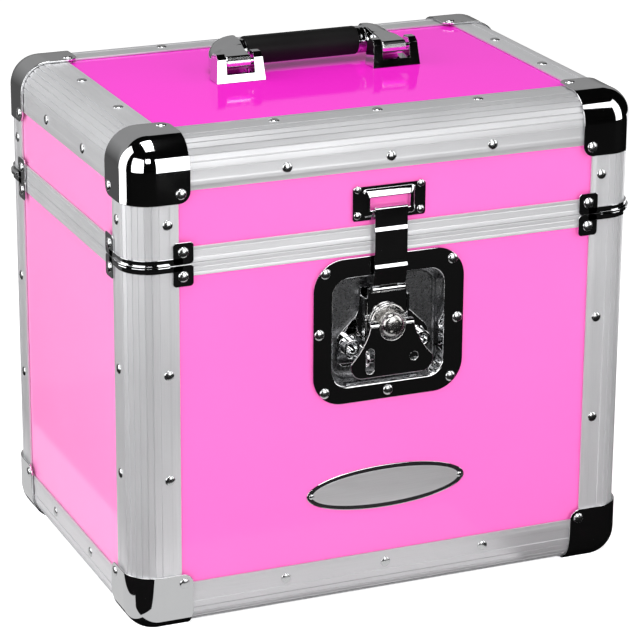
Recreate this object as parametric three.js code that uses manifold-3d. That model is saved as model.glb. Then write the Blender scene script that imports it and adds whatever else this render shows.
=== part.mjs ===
// A record carrying case: panelled box, hinged lid, aluminium edges, recessed turn latch and folding handle.
// Millimetres, +Z up, the front faces -Y. The origin is under the middle of the box, on the surface it stands on.

import * as THREE from 'three';
import { RoundedBoxGeometry } from 'three/addons/geometries/RoundedBoxGeometry.js';
import { mergeVertices } from 'three/addons/utils/BufferGeometryUtils.js';
import Module from 'manifold-3d';

const wasm = await Module();
wasm.setup();

// The box, measured over its aluminium edges
const width = 372;
const depth = 264.5;
const height = 347;
const splitHeight = 263.2;
const seam = 0.3;
const seatGap = 0.3;
const overrun = 5;

// Panels and the foam that lines them
const panelWall = 6;
const foamWall = 4;

// Edge extrusions: an outer skin with a round corner and an inner angle that grips two panels
const edgeLeg = 34.4;
const edgeRound = 20;
const edgeSkin = 1.5;
const edgeWebInset = 15.4;
const edgeInnerLeg = 26;
const roundSteps = 3;

// Rims along the seam between box and lid
const rimFaceInset = 0.4;
const caseRimHeight = 9;
const lidRimHeight = 10.9;
const rimWeb = 1.5;
const rimBand = 1.5;
const tongueHeight = 5;

// Ball corners
const ballLeg = 44;
const ballWall = 1.5;
const ballTabRound = 8;

// Corner braces along the seam
const braceWall = 1.2;
const braceBand = 4.6;
const braceReach = 44;
const braceTabWidth = 14.5;
const braceTabHeight = 15.1;
const braceTabRound = 2.5;
const braceRidgeOut = 1.5;
const braceRidgeHeight = 1.2;

// Long hinge at the back
const hingeMargin = 12;
const hingeLeafHeight = 7.6;
const hingeLeafWall = 1.2;
const hingeKnuckleRadius = 3;
const hingePinRadius = 1.4;
const hingeKnuckles = 9;
const hingeRunGap = 0.3;

// Latch dish in the front panel
const dishWidth = 112;
const dishHeight = 104.2;
const dishRound = 22;
const dishWall = 1.2;
const dishCentreHeight = 200.4;
const recessWidth = 82.4;
const recessHeight = 76.8;
const recessDrop = 1;
const recessRound = 11.5;
const recessDepth = 12.5;
const recessDraft = 2;

// Latch works, measured from the front plane of the box and from the spindle's axis
const spindleRise = 3;
const spindleShaftRadius = 4;
const hubRadius = 13;
const hubFront = 0.3;
const hubWall = 3;
const neckRadius = 7;
const headRadius = 8.5;
const headOut = 9;
const trunnionRadius = 1.5;
const basePlateWall = 1.5;
const basePlateTop = 24;
const basePlateTopHalf = 16.5;
const basePlateWaistRise = 7;
const basePlateWaistHalf = 18.5;
const basePlateWideHalf = 34;
const basePlateWideDrop = 10.5;
const basePlateBottom = -32.4;
const basePlateBottomHalf = 29;
const baseBlockTop = 18;
const baseBlockBottom = -13.4;
const baseRailWall = 2;
const carriageHalfWidth = 14.3;
const carriageWall = 2;
const carriageBottom = -14;
const latchLift = 6.2;
const postRadius = 6;
const postBoreRadius = 3.6;
const postBoreDepth = 8;
const postSpread = 26.3;
const postDrop = 16.1;
const postInset = 2;

// Padlock eye behind the wing's slot
const eyeThickness = 3;
const eyeHeight = 14;
const eyeBar = 3;
const eyeSpread = 16.4;
const eyeDrop = 24.3;

// Wing that turns the latch
const wingWall = 1.5;
const wingKnuckleRadius = 3;
const wingTopHalf = 16.2;
const wingWaistHalf = 17;
const wingWaistDrop = 3.5;
const wingFlareHalf = 20.4;
const wingFlareDrop = 14.5;
const wingWideHalf = 30.4;
const wingShoulderDrop = 25;
const wingBottomDrop = 36.3;
const wingBottomRound = 8.5;
const wingNotchRadius = 9.5;
const wingNotchDrop = 1.4;
const wingHoleRadius = 3;
const wingSlotHalfWidth = 2.7;
const wingSlotHalfHeight = 8.5;

// Hook that reaches up to the keeper
const strikeShift = 1.1;
const hookWidth = 24.2;
const hookWall = 1.8;
const hookHingeRise = 24.8;
const hookHingeInset = 0.8;
const hookKnuckleRadius = 2.8;
const hookPinRadius = 1.2;
const hookTongueHalf = 6;
const hookElbowRise = 42;
const hookShelfRise = 68.2;
const hookFaceOut = 4.4;
const hookTopOut = 4;
const hookLipWall = 1.8;
const hookLipReach = 2.3;

// Keeper plate on the lid
const keeperWidth = 53.8;
const keeperHeight = 23.8;
const keeperWall = 1.2;
const keeperRound = 2;
const keeperRise = 15.3;
const keeperOut = 2.2;
const keeperFootWidth = 38;
const keeperFootHeight = 20;
const keeperOpeningWidth = 29.4;
const keeperOpeningHeight = 8.8;
const keeperOpeningDrop = 0.2;
const keeperLandWall = 1.2;

// Handle on the lid
const handleShift = 3.2;
const handleSpread = 59.3;
const handlePivotBack = 3;
const handlePivotRise = 13.8;
const bracketFoot = 36.4;
const bracketTop = 33;
const bracketHeight = 19.4;
const bracketFrontReach = 4.3;
const bracketBackReach = 9.7;
const bracketChamferHeight = 3.3;
const bracketChamferDepth = 2.8;
const bracketNotch = 21;
const bracketFloor = 5.4;
const handlePinRadius = 2;
const armBarrelRadius = 4;
const armBarrelBore = 2.3;
const armNeckBack = 12.3;
const armNeckDrop = 7;
const armWall = 18.6;
const armBevel = 8;
const armDrop = 0.3;
const armOuterReach = 11.4;
const armInnerReach = 10.6;
const armBack = 40;
const armOuterRound = 16;
const gripBack = 27;
const gripDrop = 0.5;
const armPlay = 1.1;
const gripShift = 1.65;
const gripHalf = 42.75;
const gripRadius = 9.8;
const gripEndRound = 1.2;
const gripSides = 20;
const ferruleRadius = 9;

// Places worked out from the sizes above
const hingeLength = width - 2 * (braceReach + hingeMargin);
const halfWidth = width / 2;
const halfDepth = depth / 2;
const floorZ = seatGap + ballWall;
const splitZ = floorZ + splitHeight;
const topZ = floorZ + height;
const panelFace = edgeSkin + seatGap;
const panelBack = panelFace + panelWall;
const innerFace = panelBack + seatGap;
const innerBack = innerFace + edgeSkin;
const panelEnd = edgeWebInset + edgeSkin + seatGap;
const bandFace = innerBack + seatGap;
const bandBack = bandFace + rimBand;
const edgeEnd = edgeLeg + seatGap;
const caseTop = splitZ - seam / 2;
const lidBottom = splitZ + seam / 2;
const dishZ = floorZ + dishCentreHeight;
const spindleZ = dishZ + spindleRise;
const dishFace = panelFace - seatGap - dishWall;
const recessFloor = dishFace + recessDepth;

// Finishes
const pinkPanel = new THREE.MeshStandardMaterial({ color: 0xff5fd4, roughness: 0.15, metalness: 0 });
const aluminium = new THREE.MeshStandardMaterial({ color: 0xc9cacd, roughness: 0.4, metalness: 0.9 });
const chrome = new THREE.MeshStandardMaterial({ color: 0xd6d8db, roughness: 0.08, metalness: 1 });
const blackGrip = new THREE.MeshStandardMaterial({ color: 0x121213, roughness: 0.45, metalness: 0 });
const greyFoam = new THREE.MeshStandardMaterial({ color: 0x2b2c2f, roughness: 0.95, metalness: 0 });

// A closed geometry as a solid that can be cut and joined
function solid(geometry) {
  const bare = geometry.index ? geometry.toNonIndexed() : geometry.clone();
  for (const name of Object.keys(bare.attributes)) {
    if (name !== 'position') bare.deleteAttribute(name);
  }
  const merged = mergeVertices(bare);
  const mesh = new wasm.Mesh({
    numProp: 3,
    vertProperties: new Float32Array(merged.attributes.position.array),
    triVerts: new Uint32Array(merged.index.array),
  });
  return new wasm.Manifold(mesh);
}

// A solid as a geometry again
function shapeOf(body) {
  const mesh = body.getMesh();
  const geometry = new THREE.BufferGeometry();
  const places = new Float32Array((mesh.vertProperties.length / mesh.numProp) * 3);
  for (let i = 0; i < places.length / 3; i += 1) {
    for (let k = 0; k < 3; k += 1) places[3 * i + k] = mesh.vertProperties[mesh.numProp * i + k];
  }
  geometry.setAttribute('position', new THREE.BufferAttribute(places, 3));
  geometry.setIndex(new THREE.BufferAttribute(new Uint32Array(mesh.triVerts), 1));
  const flat = geometry.toNonIndexed();
  flat.computeVertexNormals();
  return flat;
}

// The solids of a list joined to one
function joined(bodies) {
  return bodies.reduce((all, next) => all.add(next));
}

// A block between two limits on each axis
function block(x0, x1, y0, y1, z0, z1) {
  const geometry = new THREE.BoxGeometry(x1 - x0, y1 - y0, z1 - z0);
  geometry.translate((x0 + x1) / 2, (y0 + y1) / 2, (z0 + z1) / 2);
  return geometry;
}

// An outline from a list of [across, up] points
function outline(points) {
  return new THREE.Shape(points.map(([across, up]) => new THREE.Vector2(across, up)));
}

// A rectangle about its centre with round corners
function roundRectangle(across, up, radius) {
  const x = across / 2 - radius;
  const y = up / 2 - radius;
  const shape = new THREE.Shape();
  shape.absarc(x, y, radius, 0, Math.PI / 2);
  shape.absarc(-x, y, radius, Math.PI / 2, Math.PI);
  shape.absarc(-x, -y, radius, Math.PI, 1.5 * Math.PI);
  shape.absarc(x, -y, radius, 1.5 * Math.PI, 2 * Math.PI);
  return shape;
}

// A flat outline drawn out to a length, with curves in so many steps
function drawn(shape, length, steps) {
  return new THREE.ExtrudeGeometry(shape, { depth: length, bevelEnabled: false, curveSegments: steps });
}

// An outline in x and y, drawn along z from z0 to z1
function alongZ(shape, z0, z1, steps = roundSteps) {
  return drawn(shape, z1 - z0, steps).translate(0, 0, z0);
}

// An outline in y and z, drawn along x from x0 to x1
function alongX(shape, x0, x1, steps = roundSteps) {
  const turn = new THREE.Matrix4().set(0, 0, 1, x0, 1, 0, 0, 0, 0, 1, 0, 0, 0, 0, 0, 1);
  return drawn(shape, x1 - x0, steps).applyMatrix4(turn);
}

// An outline in x and z, drawn along y from y0 to y1
function alongY(shape, y0, y1, steps = roundSteps) {
  return drawn(shape, y1 - y0, steps).rotateX(Math.PI / 2).translate(0, y1, 0);
}

// A round bar along x or y
function barX(radius, x0, x1, y, z, sides = 16) {
  const bar = new THREE.CylinderGeometry(radius, radius, x1 - x0, sides).rotateZ(Math.PI / 2);
  return bar.translate((x0 + x1) / 2, y, z);
}

function barY(radius, y0, y1, x, z, sides = 16) {
  return new THREE.CylinderGeometry(radius, radius, y1 - y0, sides).translate(x, (y0 + y1) / 2, z);
}

// A geometry stretched by signs along each axis, its faces kept pointing out
function mirrored(geometry, kx, ky, kz) {
  const copy = geometry.toNonIndexed ? geometry.clone() : geometry;
  const plain = copy.index ? copy.toNonIndexed() : copy;
  plain.scale(kx, ky, kz);
  if (kx * ky * kz < 0) {
    const at = plain.attributes.position;
    const first = new THREE.Vector3();
    const second = new THREE.Vector3();
    for (let i = 0; i < at.count; i += 3) {
      first.fromBufferAttribute(at, i + 1);
      second.fromBufferAttribute(at, i + 2);
      at.setXYZ(i + 1, second.x, second.y, second.z);
      at.setXYZ(i + 2, first.x, first.y, first.z);
    }
  }
  plain.computeVertexNormals();
  return plain;
}

// A solid that runs straight from one outline at depth y0 to another at depth y1
function tapered(front, y0, back, y1, steps) {
  const near = front.extractPoints(steps).shape.slice(0, -1);
  const far = back.extractPoints(steps).shape.slice(0, -1);
  const count = near.length;
  const places = [...near.map((p) => [p.x, y0, p.y]), ...far.map((p) => [p.x, y1, p.y])];
  const faces = [];
  for (let i = 0; i < count; i += 1) {
    const next = (i + 1) % count;
    faces.push(i, i + count, next, next, i + count, next + count);
  }
  for (const [a, b, c] of THREE.ShapeUtils.triangulateShape(near, [])) {
    faces.push(a, b, c, a + count, c + count, b + count);
  }
  const geometry = new THREE.BufferGeometry();
  geometry.setAttribute('position', new THREE.Float32BufferAttribute(places.flat(), 3));
  geometry.setIndex(faces);
  return geometry;
}

function piece(name, geometry, material) {
  const mesh = new THREE.Mesh(geometry, material);
  mesh.name = name;
  return mesh;
}

// Directions round a quarter turn, spaced as a rounded box spaces its edges
function quarterTurn() {
  const turn = [];
  for (let k = 0; k <= roundSteps; k += 1) turn.push(new THREE.Vector2(k, roundSteps).normalize());
  for (let k = roundSteps - 1; k >= 0; k -= 1) turn.push(new THREE.Vector2(roundSteps, k).normalize());
  return turn;
}

// Points round the box's corner at a distance inside (or, below zero, outside) its outer planes
function cornerRun(inset) {
  const radius = edgeRound - inset;
  return quarterTurn().map((way) => [edgeRound - radius * way.x, edgeRound - radius * way.y]);
}

const sides = [-1, 1];
const sideWords = { x: { '-1': 'left', 1: 'right' }, y: { '-1': 'front', 1: 'back' } };

// Section of an edge extrusion, measured inward from the two outer planes
function edgeSection() {
  const webBack = edgeWebInset + edgeSkin;
  const shape = outline([
    [edgeLeg, 0],
    ...cornerRun(0),
    [0, edgeLeg],
    [edgeSkin, edgeLeg],
    [edgeSkin, webBack],
    [innerFace, webBack],
    [innerFace, edgeInnerLeg],
    [innerBack, edgeInnerLeg],
    [innerBack, innerBack],
    [edgeInnerLeg, innerBack],
    [edgeInnerLeg, innerFace],
    [webBack, innerFace],
    [webBack, edgeSkin],
    [edgeLeg, edgeSkin],
  ]);
  const skinRadius = edgeRound - edgeSkin;
  const webDrop = edgeRound - Math.sqrt(skinRadius ** 2 - (edgeRound - edgeWebInset) ** 2);
  const run = cornerRun(edgeSkin).filter(([u, v]) => u < edgeWebInset && v < edgeWebInset);
  const hollow = [
    [edgeWebInset, webDrop],
    ...run,
    [webDrop, edgeWebInset],
    [innerFace, edgeWebInset],
    [innerFace, innerFace],
    [edgeWebInset, innerFace],
  ];
  shape.holes.push(new THREE.Path(hollow.reverse().map(([u, v]) => new THREE.Vector2(u, v))));
  return shape;
}

// Four upright extrusions between two heights
function uprightEdges(owner, z0, z1) {
  const edges = [];
  for (const sx of sides) {
    for (const sy of sides) {
      const name = `${owner}_edge_${sideWords.y[sy]}_${sideWords.x[sx]}`;
      const edge = piece(name, mirrored(alongZ(edgeSection(), z0, z1), -sx, -sy, 1), aluminium);
      edge.position.set(sx * halfWidth, sy * halfDepth, 0);
      edges.push(edge);
    }
  }
  return edges;
}

// Four level extrusions round the bottom or the top
function levelEdges(owner, word, z, up) {
  const reachX = halfWidth - edgeEnd;
  const reachY = halfDepth - edgeEnd;
  const edges = [];
  for (const side of sides) {
    const long = mirrored(alongX(edgeSection(), -reachX, reachX), 1, -side, up);
    const longEdge = piece(`${owner}_${word}_edge_${sideWords.y[side]}`, long, aluminium);
    longEdge.position.set(0, side * halfDepth, z);
    const short = mirrored(alongY(edgeSection(), -reachY, reachY), -side, 1, up);
    const shortEdge = piece(`${owner}_${word}_edge_${sideWords.x[side]}`, short, aluminium);
    shortEdge.position.set(side * halfWidth, 0, z);
    edges.push(longEdge, shortEdge);
  }
  return edges;
}

// Upright panels between two heights, the front one given its own outline
function uprightPanels(owner, z0, z1, front) {
  const reachX = halfWidth - panelEnd;
  const reachY = halfDepth - panelEnd;
  const backWall = block(-reachX, reachX, halfDepth - panelBack, halfDepth - panelFace, z0, z1);
  const leftWall = block(panelFace - halfWidth, panelBack - halfWidth, -reachY, reachY, z0, z1);
  const rightWall = block(halfWidth - panelBack, halfWidth - panelFace, -reachY, reachY, z0, z1);
  return [
    piece(`${owner}_panel_front`, front(reachX), pinkPanel),
    piece(`${owner}_panel_back`, backWall, pinkPanel),
    piece(`${owner}_panel_left`, leftWall, pinkPanel),
    piece(`${owner}_panel_right`, rightWall, pinkPanel),
  ];
}

// Ball corner in its own frame: the box's outer planes are the three zero planes, the box lies on the plus side
function ballCorner() {
  const size = 4 * ballLeg;
  const outer = -seatGap - ballWall;
  const shell = [outer, -seatGap].map((from) => {
    const rounded = new RoundedBoxGeometry(size, size, size, roundSteps, edgeRound - from);
    return solid(rounded.translate(from + size / 2, from + size / 2, from + size / 2));
  });
  const reach = outer + ballLeg;
  const tab = new THREE.Shape();
  tab.moveTo(outer - overrun, outer - overrun);
  tab.lineTo(reach, outer - overrun);
  tab.absarc(reach - ballTabRound, reach - ballTabRound, ballTabRound, 0, Math.PI / 2);
  tab.lineTo(outer - overrun, reach);
  const from = outer - overrun;
  const trims = [alongX, alongY, alongZ].map((along) => solid(along(tab, from, reach)));
  return shapeOf(trims.reduce((body, trim) => body.intersect(trim), shell[0].subtract(shell[1])));
}

function ballCorners(owner, word, z, up) {
  const shape = ballCorner();
  const corners = [];
  for (const sx of sides) {
    for (const sy of sides) {
      const name = `${owner}_ball_corner_${sideWords.y[sy]}_${sideWords.x[sx]}`;
      const corner = piece(name, mirrored(shape, -sx, -sy, up), chrome);
      corner.position.set(sx * halfWidth, sy * halfDepth, z);
      corners.push(corner);
    }
  }
  return corners;
}

// A strip that runs round the box's corner on the outside, of one thickness
function roundStrip(thickness, reach) {
  const inner = -seatGap;
  const outer = inner - thickness;
  return outline([
    [reach, inner],
    ...cornerRun(inner),
    [inner, reach],
    [outer, reach],
    ...cornerRun(outer).reverse(),
    [reach, outer],
  ]);
}

// Corner brace in the same frame, standing up from the seam
function cornerBrace() {
  const inner = -seatGap;
  const outer = inner - braceWall;
  const tabCentre = braceReach - braceTabWidth / 2;
  const tab = roundRectangle(braceTabWidth, braceTabHeight, braceTabRound);
  const front = alongY(tab, outer, inner).translate(tabCentre, 0, braceTabHeight / 2);
  const side = alongX(tab, outer, inner).translate(0, tabCentre, braceTabHeight / 2);
  const bandReach = braceReach - braceTabRound;
  const band = alongZ(roundStrip(braceWall, bandReach), 0, braceBand);
  const ridge = alongZ(roundStrip(braceWall + braceRidgeOut, bandReach - braceTabWidth), 0, braceRidgeHeight);
  return shapeOf(joined([front, side, band, ridge].map(solid)));
}

function cornerBraces(owner, z, up) {
  const shape = cornerBrace();
  const braces = [];
  for (const sx of sides) {
    for (const sy of sides) {
      const name = `${owner}_brace_${sideWords.y[sy]}_${sideWords.x[sx]}`;
      const brace = piece(name, mirrored(shape, -sx, -sy, up), chrome);
      brace.position.set(sx * halfWidth, sy * halfDepth, z);
      braces.push(brace);
    }
  }
  return braces;
}

// A level frame between two insets from the outer planes and two heights
function frame(outerInset, innerInset, z0, z1) {
  const outerX = halfWidth - outerInset;
  const outerY = halfDepth - outerInset;
  const innerX = halfWidth - innerInset;
  const innerY = halfDepth - innerInset;
  const whole = solid(block(-outerX, outerX, -outerY, outerY, z0, z1));
  return whole.subtract(solid(block(-innerX, innerX, -innerY, innerY, z0 - overrun, z1 + overrun)));
}

// What a rim leaves out: the four corners, where the upright extrusions stand
function rimCorners(z0, z1) {
  const corners = [];
  for (const sx of sides) {
    for (const sy of sides) {
      const xs = [sx * (halfWidth - edgeEnd), sx * (halfWidth + overrun)].sort((a, b) => a - b);
      const ys = [sy * (halfDepth - edgeEnd), sy * (halfDepth + overrun)].sort((a, b) => a - b);
      corners.push(solid(block(...xs, ...ys, z0 - overrun, z1 + overrun)));
    }
  }
  return joined(corners);
}

// Rim of the box: a channel over the panels' top edges, with a tongue that stands up inside the lid
function caseRim() {
  const z0 = caseTop - caseRimHeight;
  const outside = joined([
    frame(rimFaceInset, edgeSkin, z0, caseTop),
    frame(rimFaceInset, bandBack, caseTop - rimWeb, caseTop),
    frame(innerFace, bandBack, z0, caseTop),
  ]);
  const band = frame(bandFace, bandBack, z0, caseTop + tongueHeight);
  return shapeOf(outside.subtract(rimCorners(z0, caseTop)).add(band));
}

// Rim of the lid: a channel under the panels, open inside for the tongue
function lidRim() {
  const z1 = lidBottom + lidRimHeight;
  const bandBottom = caseTop + tongueHeight + seatGap;
  const outside = joined([
    frame(rimFaceInset, edgeSkin, lidBottom, z1),
    frame(rimFaceInset, innerBack, lidBottom, lidBottom + rimWeb),
    frame(innerFace, innerBack, lidBottom, z1),
    frame(innerFace, bandBack, bandBottom, z1),
  ]);
  const band = frame(bandFace, bandBack, bandBottom, z1);
  return shapeOf(outside.subtract(rimCorners(lidBottom, z1)).add(band));
}

// Outline of the dish's well at a distance inside its mouth, grown by a margin
function wellOutline(inward, margin) {
  const less = 2 * ((recessDraft * inward) / recessDepth - margin);
  const corner = recessRound + margin;
  return roundRectangle(recessWidth - less, recessHeight - less, corner);
}

const wellSteps = 4;

const recessZ = dishZ - recessDrop;

// Front panel of the box with the hole for the dish
function caseFront(z0, z1) {
  return (reachX) => {
    const wall = solid(block(-reachX, reachX, panelFace - halfDepth, panelBack - halfDepth, z0, z1));
    const hole = alongY(wellOutline(0, dishWall + seatGap), -overrun, overrun + panelBack, wellSteps);
    return shapeOf(wall.subtract(solid(hole.translate(0, -halfDepth, recessZ))));
  };
}

// Foam tray that lines the box, with a window for the back of the dish
function caseFoam() {
  const x = halfWidth - bandFace;
  const y = halfDepth - bandFace;
  const z0 = floorZ + bandFace;
  const z1 = caseTop - caseRimHeight - seatGap;
  const outside = solid(block(-x, x, -y, y, z0, z1));
  const inside = block(foamWall - x, x - foamWall, foamWall - y, y - foamWall, z0 + foamWall, z1 + overrun);
  const window = alongY(wellOutline(0, dishWall + seatGap), -overrun, bandFace + foamWall + overrun, wellSteps);
  return shapeOf(outside.subtract(solid(inside)).subtract(solid(window.translate(0, -halfDepth, recessZ))));
}

// Foam tray that lines the lid
function lidFoam() {
  const x = halfWidth - bandFace;
  const y = halfDepth - bandFace;
  const z0 = lidBottom + lidRimHeight + seatGap;
  const z1 = topZ - bandFace;
  const outside = solid(block(-x, x, -y, y, z0, z1));
  const inside = block(foamWall - x, x - foamWall, foamWall - y, y - foamWall, z0 - overrun, z1 - foamWall);
  return shapeOf(outside.subtract(solid(inside)));
}

// Hinge leaf in its own frame: the pin is the x axis, the box lies toward -Y, the leaf hangs below the seam
const hingeOut = hingeLeafWall + seatGap - rimFaceInset + hingeRunGap + hingeKnuckleRadius;

function hingeLeaf(ownsPin) {
  const half = hingeLength / 2;
  const pitch = hingeLength / hingeKnuckles;
  const faceY = hingeKnuckleRadius + hingeRunGap;
  const top = -seam / 2;
  const plate = block(-half, half, -faceY - hingeLeafWall, -faceY, top - hingeLeafHeight, top);
  const bodies = [solid(plate)];
  for (let i = ownsPin ? 0 : 1; i < hingeKnuckles; i += 2) {
    const x0 = -half + i * pitch + (i > 0 ? hingeRunGap / 2 : 0);
    const x1 = -half + (i + 1) * pitch - (i < hingeKnuckles - 1 ? hingeRunGap / 2 : 0);
    bodies.push(solid(barX(hingeKnuckleRadius, x0, x1, 0, 0, 12)));
    bodies.push(solid(block(x0, x1, -faceY, 0, -hingeKnuckleRadius, top)));
  }
  const leaf = joined(bodies);
  if (ownsPin) return shapeOf(leaf.add(solid(barX(hingePinRadius, -half, half, 0, 0, 12))));
  const bore = barX(hingePinRadius + hingeRunGap, -half - overrun, half + overrun, 0, 0, 12);
  return shapeOf(leaf.subtract(solid(bore)));
}

// Latch dish, in the latch's frame: y runs inward from the front plane, z from the spindle's axis
function latchDish() {
  const plate = alongY(roundRectangle(dishWidth, dishHeight, dishRound), dishFace, dishFace + dishWall, 5);
  const back = recessFloor + dishWall;
  const outer = tapered(wellOutline(0, dishWall), dishFace, wellOutline(recessDepth, dishWall), back, wellSteps);
  const mouth = wellOutline(0, 0);
  const open = alongY(mouth, dishFace - overrun, dishFace, wellSteps);
  const inner = tapered(mouth, dishFace, wellOutline(recessDepth, 0), recessFloor, wellSteps);
  for (const well of [outer, inner, open]) well.translate(0, 0, -recessDrop);
  const dish = joined([solid(plate), solid(outer)]).subtract(joined([solid(inner), solid(open)]));
  return shapeOf(dish).translate(0, 0, -spindleRise);
}

const hubBack = hubFront + hubWall;
const carriageFront = hubBack + seatGap;
const carriageBack = carriageFront + carriageWall;
const blockFace = carriageBack + seatGap;
const baseBack = recessFloor - seatGap;
const baseFace = baseBack - basePlateWall;
const railOuter = carriageHalfWidth + seatGap + baseRailWall;
const trunnionOut = hingeLike();

// Distance of the wing's hinge line out from the front plane: its knuckle just clears the hub
function hingeLike() {
  return wingKnuckleRadius - hubFront + seatGap;
}

const wingBack = trunnionOut + wingKnuckleRadius - wingWall;

// Base of the latch on the dish's floor: a foot plate, a bored block with rails, two posts and the padlock eye
function latchBase() {
  const right = [
    [basePlateBottomHalf, basePlateBottom],
    [basePlateWideHalf, basePlateBottom + basePlateWideHalf - basePlateBottomHalf],
    [basePlateWideHalf, -basePlateWideDrop],
    [basePlateWaistHalf, basePlateWaistRise],
    [basePlateTopHalf, basePlateTop],
  ];
  const left = right.map(([x, z]) => [-x, z]).reverse();
  const foot = alongY(outline([...right, ...left]), baseFace, baseBack);
  const column = block(-railOuter, railOuter, blockFace, baseBack, baseBlockBottom, baseBlockTop);
  const bodies = [solid(foot), solid(column)];
  const bores = [barY(spindleShaftRadius + seatGap, blockFace - overrun, baseBack + overrun, 0, 0)];
  for (const side of sides) {
    const xs = [side * (railOuter - baseRailWall), side * railOuter].sort((a, b) => a - b);
    bodies.push(solid(block(...xs, carriageFront, blockFace + overrun / 2, baseBlockBottom, baseBlockTop)));
    bodies.push(solid(barY(postRadius, postInset, baseFace, side * postSpread, -postDrop)));
    bores.push(barY(postBoreRadius, postInset - overrun, postInset + postBoreDepth, side * postSpread, -postDrop, 12));
  }
  const eyeOut = wingBack - seatGap;
  const loop = new THREE.Shape();
  const half = eyeHeight / 2;
  loop.moveTo(baseFace, -half);
  loop.lineTo(baseFace, half);
  loop.absarc(half - eyeOut, 0, half, Math.PI / 2, 1.5 * Math.PI);
  const gate = new THREE.Path();
  const inner = half - eyeBar;
  gate.moveTo(baseFace - eyeBar, -inner);
  gate.lineTo(baseFace - eyeBar, inner);
  gate.absarc(half - eyeOut, 0, inner, Math.PI / 2, 1.5 * Math.PI);
  loop.holes.push(gate);
  const eye = alongX(loop, -eyeThickness / 2, eyeThickness / 2, 5).translate(-eyeSpread, 0, -eyeDrop);
  bodies.push(solid(eye));
  return shapeOf(joined(bodies).subtract(joined(bores.map(solid))));
}

// Carriage that the spindle lifts, with the knuckles and the pin of the hook's hinge
function latchCarriage() {
  const top = hookHingeRise;
  const plate = block(-carriageHalfWidth, carriageHalfWidth, carriageFront, carriageBack, carriageBottom, top);
  const slotHalf = spindleShaftRadius + seatGap;
  const slot = block(-slotHalf, slotHalf, -overrun, carriageBack + overrun, -slotHalf - latchLift, slotHalf);
  const gapHalf = hookTongueHalf + seatGap;
  const gapBottom = top - hookKnuckleRadius - hingeRunGap;
  const gap = block(-gapHalf, gapHalf, -overrun, carriageBack + overrun, gapBottom, top + overrun);
  const bodies = [];
  for (const side of sides) {
    const xs = [side * gapHalf, (side * hookWidth) / 2].sort((a, b) => a - b).map((x) => x - strikeShift);
    bodies.push(solid(barX(hookKnuckleRadius, ...xs, hookHingeInset, top)));
    bodies.push(solid(block(...xs, hookHingeInset, carriageBack, top - hookKnuckleRadius, top)));
  }
  const ends = [-hookWidth / 2, hookWidth / 2].map((x) => x - strikeShift);
  bodies.push(solid(barX(hookPinRadius, ...ends, hookHingeInset, top, 12)));
  const body = solid(plate).subtract(solid(slot)).subtract(solid(gap.translate(-strikeShift, 0, 0)));
  return shapeOf(joined([body, ...bodies]));
}

// Spindle: shaft, hub, neck, domed head and the two trunnions that carry the wing
function latchSpindle() {
  const shaftEnd = baseBack - seatGap;
  const domeStart = trunnionOut - headOut;
  const dome = [];
  const domeSteps = 5;
  for (let i = 0; i <= domeSteps; i += 1) {
    const turn = (i / domeSteps) * (Math.PI / 2);
    dome.push(new THREE.Vector2(headRadius * Math.cos(turn), trunnionOut - domeStart * Math.sin(turn)));
  }
  dome[domeSteps].x = 0;
  const profile = [
    new THREE.Vector2(0, -shaftEnd),
    new THREE.Vector2(spindleShaftRadius, -shaftEnd),
    new THREE.Vector2(spindleShaftRadius, -hubBack),
    new THREE.Vector2(hubRadius, -hubBack),
    new THREE.Vector2(hubRadius, -hubFront),
    new THREE.Vector2(neckRadius, -hubFront),
    new THREE.Vector2(neckRadius, trunnionOut),
    ...dome,
  ];
  const body = solid(new THREE.LatheGeometry(profile, 20).rotateX(Math.PI));
  return shapeOf(body.add(solid(barX(trunnionRadius, -wingTopHalf, wingTopHalf, -trunnionOut, 0, 12))));
}

// The wing's bell outline
function wingOutline() {
  const low = wingBottomRound - wingBottomDrop;
  const shape = new THREE.Shape();
  shape.moveTo(-wingTopHalf, 0);
  shape.lineTo(-wingWaistHalf, -wingWaistDrop);
  shape.quadraticCurveTo(-wingFlareHalf, -wingFlareDrop, -wingWideHalf, -wingShoulderDrop);
  shape.absarc(wingBottomRound - wingWideHalf, low, wingBottomRound, Math.PI, 1.5 * Math.PI);
  shape.absarc(wingWideHalf - wingBottomRound, low, wingBottomRound, 1.5 * Math.PI, 2 * Math.PI);
  shape.lineTo(wingWideHalf, -wingShoulderDrop);
  shape.quadraticCurveTo(wingFlareHalf, -wingFlareDrop, wingWaistHalf, -wingWaistDrop);
  shape.lineTo(wingTopHalf, 0);
  return shape;
}

// Wing in the latch's frame, its hinge line on the trunnions
function latchWing() {
  const plate = solid(alongY(wingOutline(), -wingBack - wingWall, -wingBack, 4));
  const barrel = solid(barX(wingKnuckleRadius, -wingTopHalf, wingTopHalf, -trunnionOut, 0));
  const notchEnds = [-headOut - overrun, overrun];
  const notchTop = wingKnuckleRadius + overrun;
  const notch = block(-wingNotchRadius, wingNotchRadius, ...notchEnds, -wingNotchDrop, notchTop);
  const notchFloor = barY(wingNotchRadius, ...notchEnds, 0, -wingNotchDrop, 24);
  const bore = barX(trunnionRadius + seatGap, -wingTopHalf - overrun, wingTopHalf + overrun, -trunnionOut, 0, 12);
  const hole = barY(wingHoleRadius, -headOut - overrun, overrun, eyeSpread, -eyeDrop, 12);
  const slotShape = roundRectangle(2 * wingSlotHalfWidth, 2 * wingSlotHalfHeight, wingSlotHalfWidth * 0.98);
  const slot = alongY(slotShape, -headOut - overrun, overrun).translate(-eyeSpread, 0, -eyeDrop);
  const cuts = joined([notch, notchFloor, bore, hole, slot].map(solid));
  return shapeOf(plate.add(barrel).subtract(cuts));
}

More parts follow.
